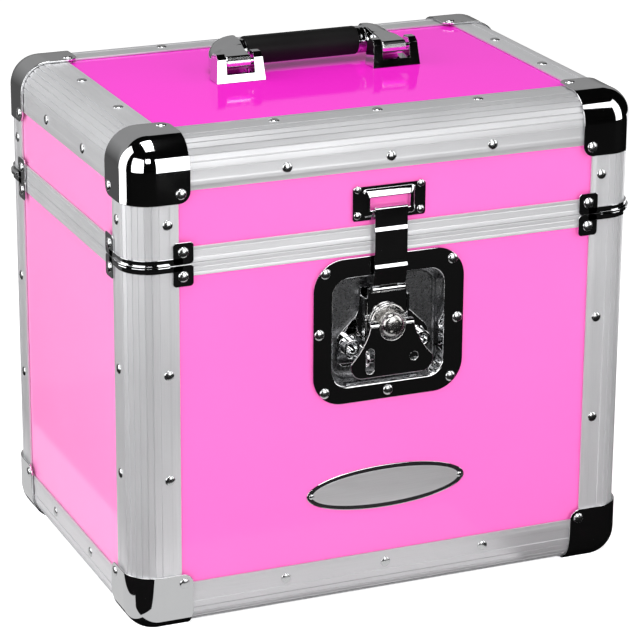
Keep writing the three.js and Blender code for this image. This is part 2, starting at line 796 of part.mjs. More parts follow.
const keeperZ = lidBottom + lidRimHeight + keeperRise;
const keeperFace = panelFace - seatGap - keeperWall;
const openingZ = keeperZ - keeperOpeningDrop;
const barTop = openingZ - keeperOpeningHeight / 2;

// Hook: a bent strap with a lip over the keeper's bar and a knuckle on the carriage
function latchHook() {
  const half = hookWidth / 2;
  const lipBottom = barTop + seatGap - spindleZ;
  const lipTop = lipBottom + hookLipWall;
  const foot = hookHingeRise + hookKnuckleRadius + hingeRunGap;
  const footFace = hookHingeInset - hookKnuckleRadius;
  const lipEnd = hookWall - hookTopOut + hookLipReach;
  const profile = outline([
    [footFace, foot],
    [footFace + hookWall, foot],
    [hookWall - hookFaceOut, hookElbowRise],
    [hookWall - hookFaceOut, hookShelfRise],
    [hookWall - hookTopOut, lipBottom],
    [lipEnd, lipBottom],
    [lipEnd, lipTop],
    [hookWall / 2 - hookTopOut, lipTop],
    [-hookTopOut, lipTop - hookWall / 2],
    [-hookFaceOut, hookShelfRise],
    [-hookFaceOut, hookElbowRise],
  ]);
  const knuckle = barX(hookKnuckleRadius, -hookTongueHalf, hookTongueHalf, hookHingeInset, hookHingeRise);
  const tongueBack = footFace + hookWall;
  const tongue = block(-hookTongueHalf, hookTongueHalf, footFace, tongueBack, hookHingeRise, foot + hookWall / 2);
  const bodies = [alongX(profile, -half, half), knuckle, tongue].map(solid);
  const bore = barX(hookPinRadius + seatGap, -half, half, hookHingeInset, hookHingeRise, 12);
  return shapeOf(joined(bodies).subtract(solid(bore))).translate(-strikeShift, 0, 0);
}

// Keeper plate on the lid: a raised bevelled frame round the opening that takes the hook's lip
function keeperPlate() {
  const plate = alongY(roundRectangle(keeperWidth, keeperHeight, keeperRound), keeperFace, keeperFace + keeperWall);
  const landWidth = keeperOpeningWidth + 2 * keeperLandWall;
  const landHeight = keeperOpeningHeight + 2 * keeperLandWall;
  const halfLand = landHeight / 2;
  const land = outline([
    [landWidth / 2, halfLand - keeperOpeningDrop],
    [-landWidth / 2, halfLand - keeperOpeningDrop],
    [-landWidth / 2, -halfLand - keeperOpeningDrop],
    [landWidth / 2, -halfLand - keeperOpeningDrop],
    [landWidth / 2, halfLand - keeperOpeningDrop],
  ]);
  const foot = outline([
    [keeperFootWidth / 2, keeperFootHeight / 2],
    [-keeperFootWidth / 2, keeperFootHeight / 2],
    [-keeperFootWidth / 2, -keeperFootHeight / 2],
    [keeperFootWidth / 2, -keeperFootHeight / 2],
    [keeperFootWidth / 2, keeperFootHeight / 2],
  ]);
  const frameBody = tapered(land, keeperFace - keeperOut, foot, keeperFace + keeperWall / 2, 1);
  const opening = block(
    -keeperOpeningWidth / 2,
    keeperOpeningWidth / 2,
    keeperFace - keeperOut - overrun,
    keeperFace + keeperWall + overrun,
    -keeperOpeningHeight / 2 - keeperOpeningDrop,
    keeperOpeningHeight / 2 - keeperOpeningDrop,
  );
  return shapeOf(solid(plate).add(solid(frameBody)).subtract(solid(opening)));
}

const lidFaceZ = topZ - panelFace;

// Handle bracket in the handle's frame: the pivot is the x axis, and x is the bracket's middle
function handleBracket() {
  const foot = seatGap - handlePivotRise;
  const top = foot + bracketHeight;
  const side = outline([
    [-bracketFrontReach, foot],
    [bracketBackReach, foot],
    [bracketBackReach, top - bracketChamferHeight],
    [bracketBackReach - bracketChamferDepth, top],
    [bracketChamferDepth - bracketFrontReach, top],
    [-bracketFrontReach, top - bracketChamferHeight],
  ]);
  const front = outline([
    [-bracketFoot / 2, foot],
    [bracketFoot / 2, foot],
    [bracketTop / 2, top],
    [-bracketTop / 2, top],
  ]);
  const body = solid(alongX(side, -bracketFoot / 2, bracketFoot / 2));
  const trim = solid(alongY(front, -bracketFrontReach, bracketBackReach));
  const half = bracketNotch / 2;
  const notch = block(-half, half, -bracketFrontReach - overrun, bracketBackReach + overrun, foot + bracketFloor, top + overrun);
  const pin = barX(handlePinRadius, -half - overrun / 2, half + overrun / 2, 0, 0, 12);
  return shapeOf(body.intersect(trim).subtract(solid(notch)).add(solid(pin)));
}

// Right arm of the handle in the same frame; the left one is its mirror image
function handleArm() {
  const half = bracketNotch / 2 - seatGap - armPlay;
  const top = armWall / 2 - armDrop;
  const bottom = -armWall / 2 - armDrop;
  const barrel = barX(armBarrelRadius, -half, half, 0, 0);
  const neck = alongX(outline([
    [0, -armBarrelRadius],
    [armNeckBack, -armNeckDrop],
    [armNeckBack, top],
    [0, armBarrelRadius],
  ]), -half, half);
  const outerX = armOuterReach - armBevel;
  const backY = armBack - armBevel;
  const innerX = -armInnerReach - armBevel;
  const radius = armOuterRound - armBevel;
  const plan = new THREE.Shape();
  plan.moveTo(innerX, armNeckBack - armBevel);
  plan.lineTo(outerX, armNeckBack - armBevel);
  plan.absarc(outerX - radius, backY - radius, radius, 0, Math.PI / 2);
  plan.lineTo(innerX, backY);
  const rounded = new THREE.ExtrudeGeometry(plan, {
    depth: armWall - 2 * armBevel,
    bevelEnabled: true,
    bevelThickness: armBevel,
    bevelSize: armBevel,
    bevelSegments: 3,
    curveSegments: 6,
  });
  rounded.translate(0, 0, bottom + armBevel);
  const reach = armOuterReach + overrun;
  const trim = block(-armInnerReach, reach, armNeckBack, armBack + overrun, bottom - overrun, top + overrun);
  const blade = solid(rounded).intersect(solid(trim));
  const bore = barX(armBarrelBore, -half - overrun, half + overrun, 0, 0, 12);
  return joined([solid(barrel), solid(neck), blade]).subtract(solid(bore));
}

// Grip between the arms, with a ferrule at each end
function handleGrip() {
  const reach = handleSpread - armInnerReach - seatGap;
  const low = -gripShift - gripHalf;
  const high = gripHalf - gripShift;
  const profile = [
    new THREE.Vector2(0, -reach),
    new THREE.Vector2(ferruleRadius, -reach),
    new THREE.Vector2(ferruleRadius, low),
    new THREE.Vector2(gripRadius, low + gripEndRound),
    new THREE.Vector2(gripRadius, high - gripEndRound),
    new THREE.Vector2(ferruleRadius, high),
    new THREE.Vector2(ferruleRadius, reach),
    new THREE.Vector2(0, reach),
  ];
  return new THREE.LatheGeometry(profile, gripSides).rotateZ(-Math.PI / 2);
}

const part = new THREE.Group();

// The box
const box = new THREE.Group();
const panelBottomZ = floorZ + panelEnd;
const casePanelTop = caseTop - rimWeb - seatGap;
box.add(...uprightPanels('case', panelBottomZ, casePanelTop, caseFront(panelBottomZ, casePanelTop)));
const spanX = halfWidth - panelEnd;
const spanY = halfDepth - panelEnd;
const bottomPanel = block(-spanX, spanX, -spanY, spanY, floorZ + panelFace, floorZ + panelBack);
box.add(piece('case_panel_bottom', bottomPanel, pinkPanel));
box.add(...uprightEdges('case', floorZ + edgeEnd, caseTop));
box.add(...levelEdges('case', 'bottom', floorZ, 1));
box.add(piece('case_rim', caseRim(), aluminium));
box.add(...ballCorners('case', 'bottom', floorZ, 1));
box.add(...cornerBraces('case', caseTop, -1));
box.add(piece('case_foam_lining', caseFoam(), greyFoam));
const caseLeaf = piece('hinge_case_leaf', hingeLeaf(true), aluminium);
caseLeaf.position.set(0, halfDepth + hingeOut, splitZ);
box.add(caseLeaf);
part.add(box);

// The latch
const latch = new THREE.Group();
latch.position.set(0, -halfDepth, spindleZ);
latch.add(piece('latch_dish', latchDish(), chrome));
latch.add(piece('latch_base', latchBase(), chrome));
latch.add(piece('latch_carriage', latchCarriage(), chrome));
latch.add(piece('latch_spindle', latchSpindle(), chrome));
latch.add(piece('latch_wing', latchWing(), chrome));
latch.add(piece('latch_hook', latchHook(), chrome));
part.add(latch);

// The lid
const lid = new THREE.Group();
const lidPanelBottom = lidBottom + rimWeb + seatGap;
const lidPanelTop = topZ - panelEnd;
const lidFront = (reachX) => (
  block(-reachX, reachX, panelFace - halfDepth, panelBack - halfDepth, lidPanelBottom, lidPanelTop)
);
lid.add(...uprightPanels('lid', lidPanelBottom, lidPanelTop, lidFront));
const topPanel = block(-spanX, spanX, -spanY, spanY, topZ - panelBack, topZ - panelFace);
lid.add(piece('lid_panel_top', topPanel, pinkPanel));
lid.add(...uprightEdges('lid', lidBottom, topZ - edgeEnd));
lid.add(...levelEdges('lid', 'top', topZ, -1));
lid.add(piece('lid_rim', lidRim(), aluminium));
lid.add(...ballCorners('lid', 'top', topZ, -1));
lid.add(...cornerBraces('lid', lidBottom, 1));
lid.add(piece('lid_foam_lining', lidFoam(), greyFoam));
const lidLeaf = piece('hinge_lid_leaf', mirrored(hingeLeaf(false), 1, 1, -1), aluminium);
lidLeaf.position.set(0, halfDepth + hingeOut, splitZ);
lid.add(lidLeaf);
const keeper = piece('latch_keeper', keeperPlate(), chrome);
keeper.position.set(-strikeShift, -halfDepth, keeperZ);
lid.add(keeper);
part.add(lid);

// The handle, folded back on the lid
const handle = new THREE.Group();
handle.position.set(handleShift, handlePivotBack, lidFaceZ + handlePivotRise);
for (const side of sides) {
  const word = sideWords.x[side];
  const bracket = piece(`handle_bracket_${word}`, handleBracket(), chrome);
  bracket.position.x = side * handleSpread;
  const arm = piece(`handle_arm_${word}`, mirrored(shapeOf(handleArm()), side, 1, 1), chrome);
  arm.position.x = side * handleSpread - armPlay;
  handle.add(bracket, arm);
}
const grip = piece('handle_grip', handleGrip(), blackGrip);
grip.position.set(-armPlay, gripBack, -gripDrop);
handle.add(grip);
part.add(handle);

export default part;
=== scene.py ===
import math

import bmesh
import bpy
from mathutils import Matrix, Vector


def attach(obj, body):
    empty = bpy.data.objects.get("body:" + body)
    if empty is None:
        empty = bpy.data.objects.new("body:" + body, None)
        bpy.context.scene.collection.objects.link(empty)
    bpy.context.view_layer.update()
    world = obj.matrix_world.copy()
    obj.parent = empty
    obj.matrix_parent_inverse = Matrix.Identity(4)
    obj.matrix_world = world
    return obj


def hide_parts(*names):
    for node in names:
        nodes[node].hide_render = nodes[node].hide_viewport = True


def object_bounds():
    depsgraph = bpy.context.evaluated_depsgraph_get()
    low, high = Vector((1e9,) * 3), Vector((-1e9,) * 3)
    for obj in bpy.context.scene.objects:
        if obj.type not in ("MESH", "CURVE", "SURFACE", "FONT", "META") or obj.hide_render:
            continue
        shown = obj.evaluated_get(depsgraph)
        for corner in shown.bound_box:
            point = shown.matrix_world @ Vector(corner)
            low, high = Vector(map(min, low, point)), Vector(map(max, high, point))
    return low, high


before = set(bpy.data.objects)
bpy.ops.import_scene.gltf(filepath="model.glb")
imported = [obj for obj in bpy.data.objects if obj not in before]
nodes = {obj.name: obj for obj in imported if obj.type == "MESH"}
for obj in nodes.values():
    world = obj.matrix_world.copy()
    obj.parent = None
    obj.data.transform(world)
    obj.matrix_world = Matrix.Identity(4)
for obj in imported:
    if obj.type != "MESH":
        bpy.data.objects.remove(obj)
cad_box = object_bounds()
bpy.ops.object.select_all(action="DESELECT")
scene = bpy.context.scene

# The panels: 6 mm plywood faced with a high-gloss pink laminate, slid into the aluminium edges.
# The front, sides and top are one laminate in three painted tones: the sides paler (painted light),
# the top deeper (painted shade). The faces are very slightly uneven, as laminate is over plywood.
mm = 0.001


class Wire:
    """One output of a finish's nodes, so that shader maths reads as Python."""

    def __init__(self, finish, socket):
        self.finish = finish
        self.socket = socket

    def maths(self, operation, *values):
        return self.finish.node("ShaderNodeMath", {"operation": operation}, dict(enumerate(values)))

    def __add__(self, other):
        return self.maths("ADD", self, other)

    def __radd__(self, other):
        return self.maths("ADD", other, self)

    def __sub__(self, other):
        return self.maths("SUBTRACT", self, other)

    def __rsub__(self, other):
        return self.maths("SUBTRACT", other, self)

    def __mul__(self, other):
        return self.maths("MULTIPLY", self, other)

    def __rmul__(self, other):
        return self.maths("MULTIPLY", other, self)

    def __gt__(self, other):
        return self.maths("GREATER_THAN", self, other)

    def __lt__(self, other):
        return self.maths("LESS_THAN", self, other)


class Finish:
    """A material or the world, the node that shades it, and the one method that adds any other node."""

    def __init__(self, name, world=None):
        self.material = world or bpy.data.materials.new(name)
        self.material.use_nodes = True
        self.tree = self.material.node_tree
        self.shader = self.tree.nodes["Background" if world else "Principled BSDF"]

    def node(self, kind, settings, sockets, out=0):
        made = self.tree.nodes.new(kind)
        for key, value in settings.items():
            setattr(made, key, value)
        self.feed(made, sockets)
        return Wire(self, made.outputs[out])

    def feed(self, made, sockets):
        for key, value in sockets.items():
            if isinstance(value, Wire):
                self.tree.links.new(value.socket, made.inputs[key])
            else:
                made.inputs[key].default_value = value

    def shade(self, **sockets):
        self.feed(self.shader, {key.replace("_", " "): value for key, value in sockets.items()})

    def place(self):
        return self.node("ShaderNodeTexCoord", {}, {}, "Object")

    def noise(self, scale, detail=2.0, stretch=(1, 1, 1)):
        spread = self.node("ShaderNodeMapping", {}, {"Vector": self.place(), "Scale": stretch})
        return self.node("ShaderNodeTexNoise", {}, {"Vector": spread, "Scale": scale, "Detail": detail})

    def ramp(self, value, low, high, shade_low, shade_high):
        sockets = {"Value": value, 1: low, 2: high, 3: shade_low, 4: shade_high}
        return self.node("ShaderNodeMapRange", {}, sockets)

    def blend(self, mask, first, second):
        """Mixes two colours, or two wires that carry colours."""
        first, second = [part if isinstance(part, Wire) else (*part, 1) for part in (first, second)]
        return self.node("ShaderNodeMix", {"data_type": "RGBA"}, {0: mask, 6: first, 7: second}, 2)

    def bump(self, height, depth, strength=1.0):
        sockets = {"Height": height, "Distance": depth, "Strength": strength}
        return self.node("ShaderNodeBump", {}, sockets)


def laminate(name, pale, deep):
    finish = Finish(name)
    cloud = finish.noise(9.0)
    peel = finish.noise(420.0)
    haze = finish.noise(35.0, 4.0)
    finish.shade(
        Base_Color=finish.blend(cloud, pale, deep),
        Roughness=finish.ramp(haze, 0.3, 0.7, 0.05, 0.08),
        Specular_IOR_Level=0.3,
        Normal=finish.bump(peel * 0.35 + cloud, 0.05 * mm),
    )
    return finish.material


def dress(piece, material):
    piece.data.materials.clear()
    piece.data.materials.append(material)


# Three lit and shaded copies of one pink: painted light on the sides, painted shade on the top.
front_painted_shading_pink = laminate("laminate front", (1.0, 0.185, 0.59), (1.0, 0.165, 0.565))
side_painted_light_pink = laminate("laminate side", (1.0, 0.32, 0.66), (1.0, 0.295, 0.64))
top_painted_shade_pink = laminate("laminate top", (1.0, 0.03, 0.70), (1.0, 0.024, 0.67))
for name, node in nodes.items():
    if "_panel_" not in name:
        continue
    way = name.rsplit("_", 1)[1]
    dress(node, {"top": top_painted_shade_pink, "left": side_painted_light_pink, "right": side_painted_light_pink}.get(way, front_painted_shading_pink))

# The aluminium edges: satin anodised extrusions with a rounded corner scored by six fine grooves.
# Each flange has a crease where the round ends and a raised bead along its free edge, and holds
# the panels' edges between its skin and an inner angle.
half_width = 186.0 * mm
half_depth = 132.25 * mm
floor_z = 1.8 * mm
top_z = 348.8 * mm
case_top = 264.85 * mm
lid_bottom = 265.15 * mm
edge_end = 34.7 * mm
edge_leg = 34.4 * mm
edge_round = 20 * mm
flange_drop = 0.3 * mm


# A tone above 1 is painted light and one below 1 painted shade; the streaks and patches are the metal's own.
def aluminium(name, along, tone):
    finish = Finish(name)
    stretch = tuple(0.012 if axis in along else 1 for axis in "xyz")
    streak = finish.noise(2600.0, 3.0, stretch)
    grain = finish.noise(900.0)
    patch = finish.noise(14.0)
    mixed = streak * 0.7 + patch * 0.3
    deep = [tone * c for c in (0.68, 0.685, 0.70)]
    pale = [tone * c for c in (0.82, 0.82, 0.835)]
    finish.shade(
        Base_Color=finish.blend(mixed, deep, pale),
        Metallic=0.6,
        Roughness=finish.ramp(patch + streak * 0.3, 0.4, 0.9, 0.34, 0.44),
        Normal=finish.bump(streak + grain * 0.5, 0.02 * mm, 0.6),
    )
    return finish.material


# The level edges along x are darkened with painted shade; the edges along y and the uprights are paled with
# painted light.
aluminium_along_painted_shading = {
    "x": aluminium("aluminium along x", "x", 0.88),
    "y": aluminium("aluminium along y", "y", 1.06),
}
upright_aluminium_painted_light = aluminium("upright aluminium", "z", 1.08)


def loft(name, rings):
    """Draws the first ring and extrudes it from ring to ring; open ends are closed."""
    count = len(rings[0])
    bpy.ops.mesh.primitive_circle_add(vertices=count, radius=1, fill_type="NOTHING")
    piece = bpy.context.object
    piece.name = name
    for vertex, point in zip(piece.data.vertices, rings[0]):
        vertex.co = point
    bpy.ops.object.mode_set(mode="EDIT")
    for ring in rings[1:]:
        bpy.ops.mesh.extrude_edges_move()
        shape = bmesh.from_edit_mesh(piece.data)
        for vertex, point in zip([v for v in shape.verts if v.select], ring):
            vertex.co = point
    bpy.ops.mesh.select_all(action="SELECT")
    bpy.ops.mesh.remove_doubles(threshold=0.001 * mm)
    bpy.ops.mesh.fill_holes(sides=0)
    bpy.ops.mesh.normals_make_consistent(inside=False)
    bpy.ops.object.mode_set(mode="OBJECT")
    return piece


def bar(name, section, start=0.0, end=1.0):
    """A straight bar: a section in x and y, extruded along z."""
    return loft(name, [[(x, y, z) for x, y in section] for z in (start, end)])


def seat(piece, origin, ex, ey, ez):
    """Moves a piece's mesh so that its own axes lie along the three given ones."""
    turn = Matrix((ex, ey, ez)).transposed().to_4x4()
    piece.data.transform(Matrix.Translation(origin) @ turn)
    if turn.determinant() < 0:
        piece.data.flip_normals()
    return piece


def twin(piece, name):
    """A copy with its own mesh."""
    made = bpy.data.objects.new(name, piece.data.copy())
    scene.collection.objects.link(made)
    return made


def at_corner(piece, sx, sy, level, rise):
    """Seats a piece at one corner of the case: its x and y axes point inward, its z axis up or down."""
    return seat(piece, (sx * half_width, sy * half_depth, level), (-sx, 0, 0), (0, -sy, 0), (0, 0, rise))


def pick(piece):
    """Selects one piece alone, for the operators that act on what is selected."""
    bpy.ops.object.select_all(action="DESELECT")
    piece.select_set(True)
    bpy.context.view_layer.objects.active = piece


def smooth(piece, degrees):
    """Shades a piece smooth, apart from the edges that turn by more than the angle."""
    pick(piece)
    bpy.ops.object.shade_smooth_by_angle(angle=math.radians(degrees))
    return piece


def work(piece, kind, **settings):
    """Gives a piece a modifier with its settings and applies it."""
    pick(piece)
    modifier = piece.modifiers.new(kind, kind)
    for key, value in settings.items():
        setattr(modifier, key, value)
    bpy.ops.object.modifier_apply(modifier=modifier.name)
    return piece


def soften(piece, width, steps, degrees):
    """Rounds the edges of a piece that turn by more than the angle."""
    limit = math.radians(degrees)
    return work(piece, "BEVEL", width=width, segments=steps, limit_method="ANGLE", angle_limit=limit)


def fit_out(piece, body, finish, slot, *replaced):
    """Dresses a finished piece and fixes it to the body that carries it."""
    dress(piece, finish)
    even = piece.modifiers.new("even shading", "WEIGHTED_NORMAL")
    even.keep_sharp = True
    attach(piece, body)
    if replaced:
        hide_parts(*replaced)
    return piece


def round_point(radius, degrees):
    """A point about the middle of the edges' round, turned from the front face to the side face."""
    turn = math.radians(degrees)
    return edge_round - radius * math.sin(turn), edge_round - radius * math.cos(turn)


def edge_section():
    """One flange is drawn and the other mirrored; x and y run inward from the case's corner."""
    skin = 1.5 * mm
    blunt = 0.2 * mm
    crease = 20.5 * mm
    crease_drop = flange_drop + 0.25 * mm
    bead = 29.7 * mm
    bead_side = [(2.6 * mm, flange_drop), (1.8 * mm, 0.04 * mm), (0.9 * mm, 0)]
    flange = [(edge_leg, skin), (edge_leg, flange_drop + blunt), (edge_leg - blunt, flange_drop)]
    flange += [(bead + across, drop) for across, drop in bead_side]
    flange += [(bead - across, drop) for across, drop in reversed(bead_side)]
    flange += [(crease + 0.5 * mm, flange_drop), (crease, crease_drop), (crease - 0.35 * mm, 0)]
    groove = 0.7 * mm
    grooves, pitch, mouth, bed = 6, 12.8, 1.3, 0.6
    turns = [(degrees, 0) for degrees in range(0, 91, 6)]
    for k in range(grooves):
        middle = 45 + pitch * (k - (grooves - 1) / 2)
        turns = [turn for turn in turns if abs(turn[0] - middle) > 2 * mouth]
        turns += [(middle - mouth, 0), (middle - bed, groove)]
        turns += [(middle + bed, groove), (middle + mouth, 0)]
    curve = [round_point(edge_round - drop, degrees) for degrees, drop in sorted(turns)]
    rib = 16.9 * mm
    slot = 8.1 * mm
    angle_back = slot + skin
    angle_leg = 26 * mm
    angle = [(skin, edge_leg), (skin, rib), (slot, rib), (slot, angle_leg), (angle_back, angle_leg)]
    inside = angle + [(angle_back, angle_back)] + [(v, u) for u, v in reversed(angle)][:-1]
    return flange + curve + [(v, u) for u, v in reversed(flange)][:-1] + inside


extrusion = smooth(bar("extrusion", edge_section()), 20)
sides = ((-1, "left"), (1, "right"))
ends = ((-1, "front"), (1, "back"))
corners = [(sx, sy, f"{end}_{side}") for sx, side in sides for sy, end in ends]
levels = (("case", "bottom", floor_z, 1), ("lid", "top", top_z, -1))
seam_levels = (("case", case_top, -1), ("lid", lid_bottom, 1))
for owner, low, high in (("case", floor_z + edge_end, case_top), ("lid", lid_bottom, top_z - edge_end)):
    for sx, sy, corner in corners:
        piece = at_corner(twin(extrusion, f"{owner}_upright_{corner}"), sx, sy, low, high - low)
        fit_out(piece, owner, upright_aluminium_painted_light, "aluminium", f"{owner}_edge_{corner}")
for owner, word, level, up in levels:
    reach_x = half_width - edge_end
    reach_y = half_depth - edge_end
    for sy, end in ends:
        piece = twin(extrusion, f"{owner}_{word}_extrusion_{end}")
        seat(piece, (-reach_x, sy * half_depth, level), (0, -sy, 0), (0, 0, up), (2 * reach_x, 0, 0))
        fit_out(piece, owner, aluminium_along_painted_shading["x"], "aluminium", f"{owner}_{word}_edge_{end}")
    for sx, side in sides:
        piece = twin(extrusion, f"{owner}_{word}_extrusion_{side}")
        seat(piece, (sx * half_width, -reach_y, level), (-sx, 0, 0), (0, 0, up), (0, 2 * reach_y, 0))
        fit_out(piece, owner, aluminium_along_painted_shading["y"], "aluminium", f"{owner}_{word}_edge_{side}")
bpy.data.objects.remove(extrusion)

# The two rims of the seam: aluminium channels over the panels' edges, with the tongue of the box's
# rim standing up inside the lid. Two fine grooves run round the outer faces of each.
rim_face = 0.4 * mm
rim_edge = 0.3 * mm
rim_groove = 0.4 * mm
rim_groove_half = 0.45 * mm
rim_grooves = {
    "case": (case_top - 3.1 * mm, case_top - 6.6 * mm),
    "lid": (lid_bottom + 3.4 * mm, lid_bottom + 8.4 * mm),
}
# The rims, the hinge leaves and the end plates share this paler tone, which is painted light.
rim_aluminium_painted_light = aluminium("rim aluminium", "x", 1.12)


def recast(node, name):
    """A copy of a CAD node as one clean mesh, to be worked on."""
    piece = twin(nodes[node], name)
    pick(piece)
    bpy.ops.object.mode_set(mode="EDIT")
    bpy.ops.mesh.select_all(action="SELECT")
    bpy.ops.mesh.remove_doubles(threshold=0.01 * mm)
    bpy.ops.mesh.dissolve_limited(angle_limit=math.radians(1))
    bpy.ops.object.mode_set(mode="OBJECT")
    return piece


def score(piece, level):
    """Presses a groove into a rim's outer faces, which lie behind those of the edges, at one height."""
    pick(piece)
    bpy.ops.object.mode_set(mode="EDIT")
    for z in (level - rim_groove_half, level, level + rim_groove_half):
        bpy.ops.mesh.select_all(action="SELECT")
        bpy.ops.mesh.bisect(plane_co=(0, 0, z), plane_no=(0, 0, 1))
    shape = bmesh.from_edit_mesh(piece.data)
    hair = 0.05 * mm
    for vertex in shape.verts:
        if abs(vertex.co.z - level) > hair:
            continue
        if abs(abs(vertex.co.x) - (half_width - rim_face)) < hair:
            vertex.co.x -= math.copysign(rim_groove, vertex.co.x)
        if abs(abs(vertex.co.y) - (half_depth - rim_face)) < hair:
            vertex.co.y -= math.copysign(rim_groove, vertex.co.y)
    bpy.ops.object.mode_set(mode="OBJECT")


for owner, grooves in rim_grooves.items():
    piece = recast(owner + "_rim", owner + "_seam_rim")
    for level in grooves:
        score(piece, level)
    soften(piece, rim_edge, 2, 60)
    smooth(piece, 25)
    fit_out(piece, owner, rim_aluminium_painted_light, "aluminium", owner + "_rim")

# The eight ball corners: deep-drawn steel caps, chrome plated, over the ends of three extrusions.
# Each has a ball at the corner and three tabs that a rivet holds.
ball_out = 1.8 * mm
ball_leg = 44 * mm
ball_round = 21.8 * mm
ball_wall = 1.5 * mm
ball_tab_round = 8 * mm
ball_edge = 0.4 * mm
chrome_dull = (0.78, 0.785, 0.80)
chrome_bright = (0.84, 0.845, 0.85)


def chrome(name, rough=0.03):
    finish = Finish(name)
    wave = finish.noise(26.0)
    fine = finish.noise(300.0, 3.0)
    smear = finish.noise(60.0, 4.0)
    finish.shade(
        Base_Color=finish.blend(smear, chrome_dull, chrome_bright),
        Metallic=1.0,
        Roughness=finish.ramp(smear, 0.35, 0.8, rough, rough + 0.04),
        Normal=finish.bump(wave + fine * 0.04, 0.12 * mm, 0.7),
    )
    return finish.material


def choose(piece, kind, wanted):
    """Goes into edit mode and selects the vertices, edges or faces that are wanted."""
    bpy.ops.object.mode_set(mode="EDIT")
    bpy.ops.mesh.select_mode(type=kind)
    bpy.ops.mesh.select_all(action="DESELECT")
    shape = bmesh.from_edit_mesh(piece.data)
    for part in {"VERT": shape.verts, "EDGE": shape.edges, "FACE": shape.faces}[kind]:
        part.select_set(wanted(part))


def thicken(piece, thickness, even=True):
    """Gives a shell its wall, inward from its outer skin."""
    return work(piece, "SOLIDIFY", thickness=thickness, offset=-1, use_even_offset=even)


plating = chrome("chrome plating")


def plated(piece, body, *replaced):
    return fit_out(piece, body, plating, "chrome", *replaced)


tab_end = ball_leg - ball_out - 0.1 * mm
bpy.ops.mesh.primitive_cube_add(size=ball_leg, location=[ball_leg / 2 - ball_out] * 3)
cap = bpy.context.object
bpy.ops.object.transform_apply(location=True, rotation=True, scale=True)
choose(cap, "EDGE", lambda edge: any(max(v.co) < 0 for v in edge.verts))
bpy.ops.mesh.bevel(offset=ball_round, segments=18, profile=0.5, affect="EDGES", clamp_overlap=False)
choose(cap, "FACE", lambda face: max(face.normal) > 0.9)
bpy.ops.mesh.delete(type="FACE")
choose(cap, "VERT", lambda vertex: sum(c > tab_end for c in vertex.co) == 2)
bpy.ops.mesh.bevel(offset=ball_tab_round, segments=8, affect="VERTICES")
bpy.ops.object.mode_set(mode="OBJECT")
thicken(cap, ball_wall)
soften(cap, ball_edge, 3, 50)
smooth(cap, 30)
for owner, word, level, up in levels:
    for sx, sy, corner in corners:
        piece = at_corner(twin(cap, f"{owner}_corner_{corner}"), sx, sy, level, up)
        plated(piece, owner, f"{owner}_ball_corner_{corner}")
bpy.data.objects.remove(cap)

# The braces that carry the box's corners across the seam: chrome straps round the uprights, with
# a ridge where the lid meets the box and a riveted tab at each end.
brace_in = 0.3 * mm
brace_out = 1.5 * mm
brace_edge = 0.35 * mm
brace_reach = 44 * mm
band_high = 4.6 * mm
ridge_reach = 27 * mm
ridge_out = 3 * mm
ridge_high = 1.2 * mm
tab_wide = 14.5 * mm
tab_high = 15.1 * mm
tab_round = 2.5 * mm
tab_middle = brace_reach - tab_wide / 2


def strap(name, reach, outer, high, steps=12):
    """A strap of one section, taken round the corner of the box."""
    section = ((brace_in, 0), (outer, 0), (outer, high), (brace_in, high))
    rings = [[(reach, -out, z) for out, z in section]]
    for k in range(steps + 1):
        rings.append([(*round_point(edge_round + out, 90 * k / steps), z) for out, z in section])
    rings.append([(-out, reach, z) for out, z in section])
    return soften(loft(name, rings), brace_edge, 2, 50)


def rounded_rectangle(wide, high, corner, steps=6):
    """Points of a rectangle with rounded corners, round from its right side."""
    points = []
    for sx, sy, first in ((1, 1, 0), (-1, 1, 90), (-1, -1, 180), (1, -1, 270)):
        for k in range(steps + 1):
            turn = math.radians(first + 90 * k / steps)
            x = sx * (wide / 2 - corner) + corner * math.cos(turn)
            y = sy * (high / 2 - corner) + corner * math.sin(turn)
            points.append((x, y))
    return points


def merge(name, pieces):
    """Joins pieces that are one part into one mesh."""
    pick(pieces[0])
    for piece in pieces[1:]:
        piece.select_set(True)
    bpy.ops.object.join()
    pieces[0].name = name
    return pieces[0]


band = strap("band", tab_middle, brace_out, band_high)
ridge = strap("ridge", ridge_reach, ridge_out, ridge_high)
tab = bar("tab", rounded_rectangle(tab_wide, tab_high, tab_round), brace_in, brace_out)
soften(tab, brace_edge, 2, 50)
tab_side = twin(tab, "tab side")
seat(tab, (tab_middle, 0, tab_high / 2), (1, 0, 0), (0, 0, 1), (0, -1, 0))
seat(tab_side, (0, tab_middle, tab_high / 2), (0, 1, 0), (0, 0, 1), (-1, 0, 0))
brace = smooth(merge("brace", [band, ridge, tab, tab_side]), 30)
for owner, level, up in seam_levels:
    for sx, sy, corner in corners:
        piece = at_corner(twin(brace, f"{owner}_seam_brace_{corner}"), sx, sy, level, up)
        plated(piece, owner, f"{owner}_brace_{corner}")
bpy.data.objects.remove(brace)

# The rims stop short of the upright extrusions. Small L-shaped aluminium plates, pressed in, cover
# the panels' edges between the two.
end_plate = ((17.1, 1.7), (34.6, 1.7), (34.6, 9.7), (26.3, 9.7), (26.3, 7.95), (17.1, 7.95))
end_wall = ((26.3, 8.1), (34.9, 8.1), (34.9, 9.7), (26.3, 9.7))
plate_near = 0.1 * mm
plate_far = 1.4 * mm
wall_high = 5.2 * mm
end_parts = {
    "case": [(end_plate, case_top - plate_far, case_top - plate_near)],
    "lid": [
        (end_plate, lid_bottom + plate_near, lid_bottom + plate_far),
        (end_wall, lid_bottom, lid_bottom + wall_high),
    ],
}
for owner, parts in end_parts.items():
    plates = []
    for sx, sy, corner in corners:
        for along, across in ((0, 1), (1, 0)):
            for plan, low, high in parts:
                outline = []
                for point in plan:
                    x = sx * (half_width - point[along] * mm)
                    outline.append((x, sy * (half_depth - point[across] * mm)))
                plates.append(bar(f"{owner} end plate", outline, low, high))
    plates = merge(f"{owner}_rim_end_plates", plates)
    fit_out(plates, owner, rim_aluminium_painted_light, "aluminium")

